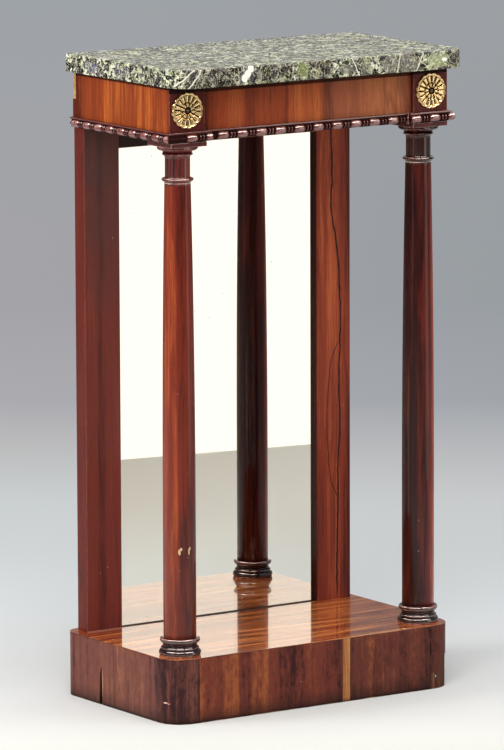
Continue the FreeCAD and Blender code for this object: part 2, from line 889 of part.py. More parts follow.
def frieze_veneers():
    """The sheets of veneer on the frieze; the left one has lost a strip at the back."""
    height = (frieze_foot, frieze_top)
    depth = (panel_face, panel_face + veneer)
    inner = block_inner + veneer
    seams = (-block_inner, panel_seam_left, panel_seam_right, block_inner)
    for name, low, high in zip(("left", "centre", "right"), seams, seams[1:]):
        sheet_of_veneer = Piece(f"frieze_panel_veneer_{name}", (low, depth[0], frieze_foot))
        sheet_of_veneer.add_box(((low, high), depth, height))
    returns = []
    for name, side in SIDES:
        across = mirrored(side, core_side, frieze_side)
        along = (frieze_front + veneer, frieze_back)
        flank = Piece(f"frieze_side_veneer_{name}", (across[0], along[0], frieze_foot))
        flank.add_box((across, along, height))
        if side < 0:
            flank.cut_box((grown(across, slack),
                           (frieze_back - veneer_loss_width, frieze_back + slack),
                           (frieze_top - veneer_loss_height, frieze_top + slack)))
        across = mirrored(side, block_inner, frieze_side)
        face = Piece(f"block_face_veneer_{name}", (across[0], frieze_front, frieze_foot))
        face.add_box((across, (frieze_front, frieze_front + veneer), height))
        cut_pin_hole(face, side)
        returns.append((mirrored(side, block_inner, inner),
                        (frieze_front + veneer, panel_face), height))
    box_group("block_return_veneers", returns)


# --------------------------------------------------------- the bead and reel rods
rod_standoff = moulding_projection - bead_radius
rod_height = frieze_foot + bead_foot + bead_radius


def bead_moulding(label, start, run, turn, mitres, lead, pitch):
    """One length of bead and reel moulding, in its own frame.

    Local X runs along the rod's axis, -Y faces outwards and the wall is at
    Y = rod_standoff. mitres names the ends that are cut for an outer corner.
    lead is the plain length before the first bead, and pitch leads to the next one.
    """
    moulding = Piece(label, (*start, rod_height), Rotation(Vector(0, 0, 1), turn))
    low = -moulding_projection if "start" in mitres else length(0)
    high = run + moulding_projection if "end" in mitres else run
    foot = -bead_radius - bead_foot
    top = foot + moulding_height
    moulding.add_box(((low, high), (rod_standoff - strip_projection, rod_standoff), (foot, top)))
    moulding.add_box(((low, high), (rod_standoff - fillet_projection, rod_standoff),
                      (top - fillet_height, top)))
    gap = (pitch - bead_length - reel_width * 2) / 3
    reel_first = bead_length + gap
    reel_second = pitch - reel_width - gap
    barrel_centre = crown_centre(bead_neck, bead_radius, bead_length)
    reel_end = bead_radius - reel_width / 2
    corners = [
        (lead, 0),
        (lead, bead_neck, Arc("y", barrel_centre, True)),
        (lead + bead_length, bead_neck),
    ]
    for reel in (reel_first, reel_second):
        corners += [
            (lead + reel, bead_neck),
            (lead + reel, reel_end, Arc("y", reel_end, True)),
            (lead + reel + reel_width, reel_end),
            (lead + reel + reel_width, bead_neck),
        ]
    corners += [(lead + pitch, bead_neck), (lead + pitch, 0)]
    unit = moulding.turned(corners, "XZ_Plane", "X_Axis")
    count = int((high.value - lead.value) // pitch.value)
    if count > 1:
        moulding.patterned("Linear", [unit], "X_Axis", count, pitch * (count - 1))
    whole = (-far, far * 3)
    moulding.cut_box((whole, (rod_standoff, rod_standoff + bead_radius), (-far, far)))
    for end in mitres:
        cut_mitre(moulding, run if end == "end" else length(0), end)
    return moulding


def cut_mitre(moulding, at, end):
    """Cut one end of a moulding at 45 degrees, outwards from the wall's corner."""
    cutter = moulding.cut_box(((0, far), (0, far), (-far, far)))
    turn = Rotation(Vector(0, 0, 1), -45 if end == "end" else 135)
    place(cutter, (at, rod_standoff, -far), turn)


# -------------------------------------------------------------------- the brass
rosette_z = frieze_foot + rosette_lift
block_middle = (block_inner + frieze_side) / 2


def cut_pin_hole(piece, side):
    """Bore the rosette's pin hole into a piece, along Y."""
    foot = (side * block_middle, frieze_front - slack, rosette_z)
    piece.bore(foot, pin_length + slack * 2, pin_radius + slack, FACING_BACK)


def rosette(name, side):
    """A pierced brass rosette: a shallow dish with two rings of petals."""
    flower = Piece(f"rosette_{name}", (side * block_middle, frieze_front, rosette_z), FACING_FRONT)
    rim = rosette_radius - petal_length / 4
    bore = pin_radius + slack
    flower.turned([
        (bore, 0),
        (rim, 0),
        (rim, rosette_depth / 2),
        (rim / 2, rosette_depth),
        (pin_head_radius, rosette_depth / 2),
        (bore, rosette_depth / 2),
    ])
    petal_radius = (rosette_radius - petal_length / 2) * (math.pi / petal_count) * petal_fill
    tip = rosette_radius - petal_radius
    petal = flower.turned([
        (tip - petal_length, 0),
        (tip - petal_length, petal_radius),
        (tip, petal_radius, Arc("x", tip, True)),
        (rosette_radius, 0),
    ], "XY_Plane", "X_Axis")
    flower.patterned("Polar", [petal], "Z_Axis", petal_count, 360)
    bud = flower.body.newObject("PartDesign::AdditiveSphere", "Bud")
    place(bud, (bud_circle, 0, rosette_depth / 2))
    bind(bud, "Radius", bud_radius)
    flower.patterned("Polar", [bud], "Z_Axis", inner_petal_count, 360)
    flower.cut_box(((-far, far), (-far, far), (-rosette_radius, 0)))
    flower.bore((0, 0, -slack), rosette_radius, bore)


def rosette_pins():
    """The two pins that hold the rosettes, each with a domed head."""
    pins = []
    for name, side in SIDES:
        shank = doc.addObject("Part::Cylinder", "Shank")
        bind(shank, "Radius", pin_radius)
        bind(shank, "Height", pin_length)
        head = doc.addObject("Part::Sphere", "Head")
        bind(head, "Radius", pin_head_radius)
        head.Angle1 = 0
        reach = rosette_depth / 2
        place(shank, (side * block_middle, frieze_front - reach, rosette_z),
              FACING_BACK)
        place(head, (side * block_middle, frieze_front - reach, rosette_z), FACING_FRONT)
        pin = doc.addObject("Part::MultiFuse", f"pin_{name}")
        pin.Shapes = [shank, head]
        pins.append(pin)
    group = doc.addObject("Part::Compound", "rosette_pins")
    group.Label = "rosette_pins"
    group.Links = pins
    sub_parts.append(group)


def bead_mouldings():
    """The moulding round the foot of the frieze: front, blocks, returns and sides."""
    inner = block_inner - moulding_projection
    wall = panel_face - rod_standoff
    bead_moulding("bead_moulding_front", (-inner, wall), inner * 2, 0, (),
                  front_bead_lead, bead_pitch)
    wall = frieze_front - rod_standoff
    bead_moulding("bead_moulding_block_left", (-frieze_side, wall), frieze_side - inner, 0,
                  ("start",), block_bead_lead, bead_pitch)
    bead_moulding("bead_moulding_block_right", (inner, wall), frieze_side - inner, 0,
                  ("end",), length(0), bead_pitch)
    wall = frieze_side + rod_standoff
    bead_moulding("bead_moulding_side_left", (-wall, frieze_back), frieze_depth, -90,
                  ("end",), side_bead_lead, side_bead_pitch)
    bead_moulding("bead_moulding_side_right", (wall, frieze_front), frieze_depth, 90,
                  ("start",), side_bead_lead, side_bead_pitch)
    height = (frieze_foot, frieze_foot + moulding_height)
    box_group("bead_moulding_returns", [
        (mirrored(side, inner, block_inner), (frieze_front, panel_face), height)
        for _, side in SIDES])


# ------------------------------------------------------------------- the marble
def marble():
    """The slab, with rounded front corners and its edges just eased."""
    side = frieze_side + marble_side_overhang
    front = frieze_front - marble_front_overhang
    back = frieze_back + marble_back_overhang
    slab = rounded_slab("marble_top", side, front, back, marble_corner, marble_arris * 2,
                        frieze_top, overall_height)
    slab.soften(marble_arris)


plinth_posts()
plinth_boards()
plinth_top()
plinth_skins()
plinth_blocks()
for column_name, column_side in SIDES:
    column_base(column_name, column_side)
    column_shaft(column_name, column_side)
    column_capital(column_name, column_side)
    column_abacus(column_name, column_side)
pilasters()
mirror_rail()
mirror()
corner_blocks()
frieze_rails()
soffit()
frieze_veneers()
bead_mouldings()
for rosette_name, rosette_side in SIDES:
    rosette(rosette_name, rosette_side)
rosette_pins()
marble()
doc.recompute()

failures = []
for feature in doc.Objects:
    if "Invalid" in feature.State or "Error" in feature.State:
        owner = feature.getParentGeoFeatureGroup() or feature
        failures.append(f"{owner.Label}: {feature.Label}: {feature.getStatusString()}")
if failures:
    raise RuntimeError("\n".join(failures))
for sub_part in sub_parts:
    if sub_part.Shape.isNull() or not sub_part.Shape.isValid():
        raise RuntimeError(f"{sub_part.Label} has no valid shape")

os.makedirs("parts", exist_ok=True)
for sub_part in sub_parts:
    sub_part.Shape.exportStep(f"parts/{sub_part.Label}.step")
print(len(sub_parts), "sub-parts")
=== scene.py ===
"""Finishes the pier table: its stone, rosewood, brass and mirror, and a plain studio round it.

X runs across the front, -Y faces the room and +Z is up, in metres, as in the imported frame.
"""

import logging
import math
from dataclasses import dataclass, field, replace
from enum import Enum

import bpy
import numpy as np
from mathutils import Matrix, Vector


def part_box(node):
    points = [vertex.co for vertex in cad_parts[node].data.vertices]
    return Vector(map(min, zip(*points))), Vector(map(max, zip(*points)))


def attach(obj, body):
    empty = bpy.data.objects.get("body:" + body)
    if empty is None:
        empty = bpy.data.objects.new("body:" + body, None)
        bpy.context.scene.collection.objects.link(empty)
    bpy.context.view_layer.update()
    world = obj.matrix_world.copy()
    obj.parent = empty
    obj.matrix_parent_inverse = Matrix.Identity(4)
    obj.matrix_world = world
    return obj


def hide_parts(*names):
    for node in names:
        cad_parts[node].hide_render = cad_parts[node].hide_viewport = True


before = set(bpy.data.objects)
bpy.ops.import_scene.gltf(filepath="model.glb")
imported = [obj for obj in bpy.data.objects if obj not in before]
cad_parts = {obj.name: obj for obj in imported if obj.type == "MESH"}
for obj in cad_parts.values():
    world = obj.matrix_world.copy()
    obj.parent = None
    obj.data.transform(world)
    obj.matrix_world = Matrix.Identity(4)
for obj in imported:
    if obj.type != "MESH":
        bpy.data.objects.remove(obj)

Array = np.ndarray
Colour = tuple[float, float, float]
Point = tuple[float, float, float]
Path = tuple[tuple[float, float], ...]
Socket = bpy.types.NodeSocket
Outputs = bpy.types.NodeOutputs
Feed = Socket | float | tuple

log = logging.getLogger("pier_table")

SIDES: tuple[tuple[str, int], ...] = (("left", -1), ("right", 1))
MIDDLE: Point = (0.0, 0.0, 0.45)
SPARE = 0.0014  # from an arris to the points that keep its shading near it
SHARP = 0.003  # an arc under this radius counts as an arris
NEAR = 0.0036  # how far up and down a turned profile a groove's walls are looked for
CREST = 0.0012  # a turned ridge this high takes the full pale arris colour, a painted highlight
GROOVE = 0.0016  # a turned groove this deep gets the full painted shade


class Body(Enum):
    """The two bodies that pieces ride on."""

    FRAME = "frame"
    SLAB = "slab"


class Slot(Enum):
    """The record's material slots."""

    ROSEWOOD = "rosewood"
    DARK_ROSEWOOD = "dark_rosewood"
    FILLER = "pale_filler"
    MARBLE = "verde_marble"
    BRASS = "gilt_brass"
    STEEL = "steel_pin"
    MIRROR = "mirror_silver"


class Axis(Enum):
    """One axis of the table."""

    X = 0
    Y = 1
    Z = 2


def tint(red: int, green: int, blue: int) -> Colour:
    """A colour as it looks on a screen, from 0 to 255, turned into linear light."""
    shares = np.array([red, green, blue]) / 255.0
    return tuple(np.where(shares <= 0.04045, shares / 12.92, ((shares + 0.055) / 1.055) ** 2.4).tolist())


def span(node: str) -> tuple[Array, Array]:
    """The lowest and the highest corner of a CAD node."""
    low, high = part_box(node)
    return np.array(low), np.array(high)


# ---- surfaces
@dataclass
class Skin:
    """A closed surface.

    Args:
        points: The corners, one row each, in metres.
        faces: The faces as tuples of corner numbers.
        wear_and_painted_light: How much of an arris each corner is, up to 1, for rubbed wear and painted
            highlights; below 0 it lies in a groove or recess and gets painted shade.
    """

    points: Array
    faces: list[tuple[int, ...]]
    wear_and_painted_light: Array

    def volume(self) -> float:
        """The signed volume: a sum of tetrahedra from the first corner of each face.

        Returns:
            The volume, below 0 where the faces turn inwards.
        """
        total = 0.0
        for size in {len(face) for face in self.faces}:
            loops = self.points[np.array([face for face in self.faces if len(face) == size])]
            for step in range(1, size - 1):
                cross = np.cross(loops[:, step], loops[:, step + 1])
                total += float(np.einsum("ij,ij->", loops[:, 0], cross)) / 6
        return total

    def outward(self) -> "Skin":
        """This surface with its faces turned outwards.

        Returns:
            The same surface.
        """
        if self.volume() < 0:
            self.faces = [face[::-1] for face in self.faces]
        return self


def joined(skins: list[Skin]) -> Skin:
    """Several closed surfaces as one.

    Args:
        skins: The surfaces.

    Returns:
        One surface with the faces renumbered.
    """
    starts = np.cumsum([0] + [len(skin.points) for skin in skins])
    faces = [tuple(int(corner + start) for corner in face)
             for skin, start in zip(skins, starts) for face in skin.faces]
    points = np.concatenate([skin.points for skin in skins])
    return Skin(points, faces, np.concatenate([skin.wear_and_painted_light for skin in skins]))


def loft(sections: Array, wear_and_painted_light: Array, round_trip: bool = False) -> Skin:
    """Carry a closed section through its stations and close the ends.

    Corner (k, j) is corner j of station k. Each face joins corners j and j + 1 of the
    stations k and k + 1, counted round the section.

    Args:
        sections: Stations by corners by three coordinates.
        wear_and_painted_light: Stations by corners, how much of an arris each is; below 0, how much painted
            shade it gets.
        round_trip: Whether the last station joins the first again.

    Returns:
        The closed surface.
    """
    stations, corners = sections.shape[:2]
    last = stations if round_trip else stations - 1
    row = np.arange(last)[:, None]
    column = np.arange(corners)[None, :]
    following = (column + 1) % corners
    above = (row + 1) % stations
    quads = np.stack(np.broadcast_arrays(row * corners + column, row * corners + following,
                                         above * corners + following, above * corners + column), axis=-1)
    faces = [tuple(face) for face in quads.reshape(-1, 4).tolist()]
    if not round_trip:
        faces.append(tuple(range(corners))[::-1])
        faces.append(tuple(range((stations - 1) * corners, stations * corners)))
    return Skin(sections.reshape(-1, 3), faces, wear_and_painted_light.reshape(-1)).outward()


@dataclass
class Outline:
    """A closed flat line with its outward normals.

    Args:
        points: The corners, one row of two coordinates each.
        normals: The outward normals there.
        mitres: Where a corner moves, for each unit, once its arc has shrunk to a point.
        radii: The radius of the arc that each corner lies on.
        wear_and_painted_light: How much of an arris each corner is.
    """

    points: Array
    normals: Array
    mitres: Array
    radii: Array
    wear_and_painted_light: Array

    def drawn_in(self, depth: Array) -> Array:
        """The line moved inwards: each arc shrinks, then its point runs along the mitre.

        Args:
            depth: How far, one number for each wanted line.

        Returns:
            Lines by corners by two coordinates.
        """
        depth = np.asarray(depth, float)[:, None]
        first = np.minimum(depth, self.radii)[..., None]
        rest = np.maximum(depth - self.radii, 0.0)[..., None]
        return self.points - self.normals * first - self.mitres * rest


def traced(corners: list[tuple[float, float, float]], steps: int = 4, spare: float = 0.0016) -> Outline:
    """A polygon with rounded corners, run counter-clockwise.

    At a corner that turns by angle a, the arc of radius r starts r tan(a/2) before the
    corner. Its points stand at r from the centre, at even angles. A spare point stands a
    little beyond each end of the arc, so that shading stays near the arris.

    Args:
        corners: Each corner's two coordinates and radius.
        steps: How many pieces each arc has.
        spare: How far beyond an arc its spare points stand.

    Returns:
        The outline.
    """
    table = np.array(corners, float)
    places = table[:, :2]
    runs = np.roll(places, -1, axis=0) - places
    lengths = np.linalg.norm(runs, axis=1, keepdims=True)
    ahead = runs / lengths
    spare = min(spare, float(lengths.min()) * 0.2)
    points, normals, mitres, radii, wear_and_painted_light = [], [], [], [], []
    for number, (_, _, radius) in enumerate(corners):
        before = ahead[number - 1]
        after = ahead[number]
        turn = math.atan2(before[0] * after[1] - before[1] * after[0], float(before @ after))
        reach = radius * math.tan(abs(turn) / 2)
        side = math.copysign(1.0, turn)
        inward = np.array([-before[1], before[0]]) * side
        centre = places[number] - before * reach + inward * radius
        share = np.linspace(0, 1, steps + 1)
        angles = math.atan2(-inward[1], -inward[0]) + turn * share
        rays = np.stack([np.cos(angles), np.sin(angles)], axis=1)
        outward = rays * side
        points += [places[number] - before * (reach + spare), *(centre + rays * radius),
                   places[number] + after * (reach + spare)]
        normals += [outward[0], *outward, outward[-1]]
        mitre = (outward[0] + outward[-1]) / (1 + float(outward[0] @ outward[-1]))
        mitres += [outward[0], *([mitre] * (steps + 1)), outward[-1]]
        radii += [1.0, *([radius if side > 0 else 1.0] * (steps + 1)), 1.0]
        edge = 1.0 if radius < SHARP else 0.0
        wear_and_painted_light += [0.0, *([edge] * (steps + 1)), 0.0]
    return Outline(*(np.array(rows) for rows in (points, normals, mitres, radii, wear_and_painted_light)))


def oblong(low: tuple[float, ...], high: tuple[float, ...], first: float, last: float,
           steps: int = 4) -> Outline:
    """A rectangle, its two lower corners rounded by the first radius and the others by the last."""
    return traced([(low[0], low[1], first), (high[0], low[1], first),
                   (high[0], high[1], last), (low[0], high[1], last)], steps)


def plate(outline: Outline, low: float, high: float, arris: float, across: Axis = Axis.Z) -> Skin:
    """A flat piece: an outline given a thickness, with its arrises rounded.

    The rounding is a quarter circle: at angle a the line is drawn in by
    arris (1 - cos a) and stands arris (1 - sin a) inside the face.

    Args:
        outline: The outline, in the two axes that follow the thickness axis in turn.
        low: The lower face.
        high: The upper face.
        arris: The rounding's radius.
        across: The thickness axis.

    Returns:
        The closed surface.
    """
    angles = np.linspace(math.pi / 2, 0, 4)
    drawn = arris * (1 - np.cos(angles))
    rise = arris * (1 - np.sin(angles))
    spare = min(arris + SPARE, (high - low) * 0.4)
    deep = min(arris + SPARE, float(np.ptp(outline.points, axis=0).min()) * 0.3)
    inset = np.concatenate([[deep], drawn, [0, 0], drawn[::-1], [deep]])
    level = np.concatenate([[low], low + rise, [low + spare, high - spare], high - rise[::-1], [high]])
    edge = np.concatenate([[0], [1, 1, 1, 1], [0, 0], [1, 1, 1, 1], [0]])
    flat = outline.drawn_in(inset)
    wear_and_painted_light = np.maximum(edge[:, None], outline.wear_and_painted_light[None])
    wear_and_painted_light[[0, -1]] = 0.0
    depth = np.broadcast_to(level[:, None, None], (*flat.shape[:2], 1))
    stacked = np.concatenate([flat, depth], axis=-1)
    order = {Axis.Z: (0, 1, 2), Axis.X: (2, 0, 1), Axis.Y: (1, 2, 0)}[across]
    return loft(stacked[..., order], wear_and_painted_light)


def block(low: Array | Point, high: Array | Point, arris: float = 0.0005) -> Skin:
    """A box with rounded arrises, given a thickness along its shortest side.

    Args:
        low: The lowest corner.
        high: The highest corner.
        arris: The arrises' radius.

    Returns:
        The closed surface.
    """
    low, high = np.asarray(low, float), np.asarray(high, float)
    across = Axis(int(np.argmin(high - low)))
    first, second = (across.value + 1) % 3, (across.value + 2) % 3
    radius = min(arris, float((high - low).min()) / 3)
    outline = oblong((low[first], low[second]), (high[first], high[second]), radius, radius)
    return plate(outline, low[across.value], high[across.value], radius, across)


def arc(start: tuple[float, float], end: tuple[float, float], bulge: float, steps: int = 10) -> Array:
    """A bulging line between two points of a profile.

    The point at share t stands on the chord, moved sideways by bulge times
    4 t (1 - t) of the chord's length.

    Args:
        start: Radius and height of the first point.
        end: Radius and height of the last point.
        bulge: The rise over the chord's length, outwards where it is above 0.
        steps: How many pieces the line has.

    Returns:
        The points, one row each.
    """
    first, last = np.array(start), np.array(end)
    share = np.linspace(0, 1, steps + 1)[:, None]
    chord = last - first
    sideways = np.array([chord[1], -chord[0]])
    return first + chord * share + sideways * bulge * 4 * share * (1 - share)


def turned(profile: Array, centre: tuple[float, float], steps: int = 72, ring: bool = True) -> Skin:
    """Turn a profile about an upright axis.

    Station k of a ring stands at the angle 2 pi k / steps, at the profile's radius and
    height. A solid piece has one round section for each point of its profile instead. A
    point lies in a groove where the profile stands higher just above it and just below it.
    On a ring, ridges get painted highlights and grooves get painted shade through the edge marks.

    Args:
        profile: Rows of radius and height.
        centre: The axis's X and Y.
        steps: How many angles there are.
        ring: Whether the profile runs round a section with a bore.

    Returns:
        The closed surface.
    """
    angles = np.linspace(0, 2 * math.pi, steps, endpoint=False)[:, None]
    radius = profile[None, :, 0]
    sections = np.stack([centre[0] + radius * np.cos(angles), centre[1] + radius * np.sin(angles),
                         np.broadcast_to(profile[None, :, 1], (steps, len(profile)))], axis=-1)
    crown = profile[:, 0] - (np.roll(profile[:, 0], 3) + np.roll(profile[:, 0], -3)) / 2
    rise = profile[None, :, 1] - profile[:, None, 1]
    over = np.where(np.abs(rise) < NEAR, profile[None, :, 0] - profile[:, None, 0], 0.0)
    groove = np.minimum(np.max(over * (rise > 0), axis=1), np.max(over * (rise < 0), axis=1))
    # Ridges above 0 become painted highlights, grooves below 0 painted shade.
    edge = np.clip(crown / CREST, 0, 1) - np.clip(groove / GROOVE, 0, 1)
    wear_and_painted_light = np.broadcast_to(edge * ring, sections.shape[:2])
    if ring:
        return loft(sections, wear_and_painted_light, True)
    return loft(sections.transpose(1, 0, 2), wear_and_painted_light.T)


def waves(points: Array, size: float, seed: float) -> Array:
    """A smooth unevenness: six sine waves of different directions, added up.

    Args:
        points: The points, one row each, or places along a line.
        size: The length of the waves in metres.
        seed: Picks other directions.

    Returns:
        One value for each point, about -1 to 1.
    """
    if points.ndim == 1:
        points = np.pad(points[:, None], ((0, 0), (0, 2)))
    picks = np.random.default_rng(int(seed * 1000))
    directions = picks.normal(size=(6, 3))
    directions /= np.linalg.norm(directions, axis=1, keepdims=True)
    lengths = size * picks.uniform(0.6, 1.6, 6)
    phases = picks.uniform(0, 2 * math.pi, 6)
    angle = points @ directions.T * (2 * math.pi / lengths) + phases
    return np.sin(angle).sum(axis=-1) / 3


# ---- node graphs
class Graph:
    """A node tree with short calls for the nodes that the finishes use."""

    def __init__(self, tree: bpy.types.NodeTree) -> None:
        """Keep the tree that nodes go into."""
        self.tree = tree

    def add(self, kind: str, *values: Feed, **settings: object) -> bpy.types.Node:
        """Add a shader node.

        Args:
            kind: The node's type.
            *values: What its first inputs get, in order.
            **settings: Its properties by name.

        Returns:
            The node.
        """
        node = self.tree.nodes.new(f"ShaderNode{kind}")
        for name, value in settings.items():
            setattr(node, name, value)
        for entry, value in zip(node.inputs, values):
            self.feed(entry, value)
        return node

    def feed(self, entry: Socket, value: Feed) -> None:
        """Link a socket to an entry, or set the entry's plain value.

        Args:
            entry: The entry.
            value: What it gets.
        """
        if isinstance(value, bpy.types.NodeSocket):
            self.tree.links.new(value, entry)
        elif isinstance(value, tuple) and entry.type == "RGBA":
            entry.default_value = (*value[:3], 1.0)
        else:
            entry.default_value = value

    def fill(self, node: bpy.types.Node, **values: Feed) -> bpy.types.Node:
        """Feed inputs of a node by name.

        Args:
            node: The node.
            **values: What its inputs get, with underscores for the spaces in their names.

        Returns:
            The same node.
        """
        for name, value in values.items():
            self.feed(node.inputs[name.replace("_", " ")], value)
        return node

    def maths(self, operation: str, first: Feed, second: Feed = 0.0, clamp: bool = False) -> Socket:
        """One arithmetic step on plain numbers."""
        return self.add("Math", first, second, operation=operation, use_clamp=clamp).outputs[0]

    def times(self, first: Feed, second: Feed, clamp: bool = False) -> Socket:
        """The product."""
        return self.maths("MULTIPLY", first, second, clamp)

    def plus(self, first: Feed, second: Feed) -> Socket:
        """The sum."""
        return self.maths("ADD", first, second)

    def minus(self, first: Feed, second: Feed) -> Socket:
        """The difference."""
        return self.maths("SUBTRACT", first, second)

    def vector(self, operation: str, first: Feed, second: Feed = (0.0, 0.0, 0.0)) -> Socket:
        """One arithmetic step on vectors."""
        node = self.add("VectorMath", first, second, operation=operation)
        return node.outputs["Value" if operation in ("LENGTH", "DOT_PRODUCT") else "Vector"]

    def scaled(self, vector: Socket, scale: float | Point) -> Socket:
        """A vector in smaller units, the same along each axis or one for each."""
        return self.vector("MULTIPLY", vector, scale if isinstance(scale, tuple) else (scale,) * 3)

    def mix(self, share: Feed, first: Feed, second: Feed, blend: str = "MIX") -> Socket:
        """Mix two colours.

        Args:
            share: How much of the second shows.
            first: The first colour.
            second: The second colour.
            blend: How they mix.

        Returns:
            The colour.
        """
        node = self.add("Mix", share, data_type="RGBA", blend_type=blend, clamp_factor=True)
        self.feed(node.inputs[6], first)
        self.feed(node.inputs[7], second)
        return node.outputs[2]

    def band(self, value: Feed, low: float, high: float) -> Socket:
        """A smooth step from 0 at low to 1 at high."""
        return self.add("MapRange", value, low, high, interpolation_type="SMOOTHSTEP").outputs[0]

    def noise(self, vector: Socket, detail: float = 2.0, rough: float = 0.5,
              scale: float | Point | None = None) -> Socket:
        """Smooth noise, from about 0.25 to 0.75.

        Args:
            vector: The place.
            detail: How many finer noises are added.
            rough: How strong the finer ones are.
            scale: The place's smaller units, where it isn't in them yet.

        Returns:
            The noise.
        """
        place = vector if scale is None else self.scaled(vector, scale)
        node = self.add("TexNoise")
        return self.fill(node, Vector=place, Scale=1.0, Detail=detail, Roughness=rough).outputs["Fac"]

    def cells(self, vector: Socket, feature: str = "F1") -> bpy.types.Node:
        """Voronoi cells at scale 1."""
        return self.fill(self.add("TexVoronoi", feature=feature), Vector=vector, Scale=1.0)

    def ramp(self, value: Socket, stops: tuple[tuple[float, tuple[int, int, int]], ...]) -> Socket:
        """Turn a value into a colour.

        Args:
            value: The value.
            stops: Places from 0 to 1 and their colours as they look on a screen.

        Returns:
            The colour.
        """
        node = self.add("ValToRGB", value)
        elements = node.color_ramp.elements
        for number, (place, colour) in enumerate(stops):
            element = elements[number] if number < 2 else elements.new(place)
            element.position = place
            element.color = (*tint(*colour), 1.0)
        return node.outputs[0]

    def follow(self, value: Socket, path: Path) -> tuple[Socket, Socket]:
        """Follow a smooth line through pairs of place and height.

        Args:
            value: The place.
            path: The pairs, from the lowest place up.

        Returns:
            The share of the path up to that place, and the line's height there.
        """
        places, heights = np.array(path).T
        low, length = places[0], places[-1] - places[0]
        bottom, rise = heights.min(), max(heights.max() - heights.min(), 0.001)
        knots = list(zip((places - low) / length, (heights - bottom) / rise))
        share = self.maths("DIVIDE", self.minus(value, low), length)
        node = self.fill(self.add("FloatCurve"), Value=share)
        points = node.mapping.curves[0].points
        points[0].location, points[1].location = knots[0], knots[-1]
        for place, height in knots[1:-1]:
            points.new(place, height)
        node.mapping.update()
        return share, self.plus(self.times(node.outputs[0], rise), bottom)

    def bump(self, height: Socket, depth: float) -> Socket:
        """A normal from a height, where a height of 1 is a depth in metres."""
        return self.fill(self.add("Bump"), Distance=depth, Height=height).outputs[0]

    def place(self) -> Socket:
        """The point's own place on the table, in metres."""
        return self.add("TexCoord").outputs["Object"]

    def mask(self, name: str) -> Socket:
        """A value that the mesh holds for each point."""
        return self.add("Attribute", attribute_name=name).outputs["Fac"]

    def group(self, group: bpy.types.NodeTree, **values: Feed) -> dict[str, Socket]:
        """Put a shared effect into this graph, feed its inputs and hand back its outputs by name."""
        node = self.fill(self.add("Group", node_tree=group), **values)
        return {output.name: output for output in node.outputs}


def effect(name: str, inputs: dict[str, object],
           outputs: dict[str, str]) -> tuple[Graph, dict[str, Socket], bpy.types.Node]:
    """Start a shared effect.

    Args:
        name: The group's name.
        inputs: Each input's plain value: a number, a colour or None for a vector.
        outputs: Each output's kind, "Float" or "Color".

    Returns:
        The graph, the group's inputs by name and its output node.
    """
    tree = bpy.data.node_groups.new(name, "ShaderNodeTree")
    for label, value in inputs.items():
        kind = "Vector" if value is None else "Color" if isinstance(value, tuple) else "Float"
        socket = tree.interface.new_socket(label, in_out="INPUT", socket_type=f"NodeSocket{kind}")
        if value is not None:
            socket.default_value = (*value, 1.0) if kind == "Color" else value
    for label, kind in outputs.items():
        tree.interface.new_socket(label, in_out="OUTPUT", socket_type=f"NodeSocket{kind}")
    entries = tree.nodes.new("NodeGroupInput")
    exits = tree.nodes.new("NodeGroupOutput")
    return Graph(tree), {output.name: output for output in entries.outputs}, exits


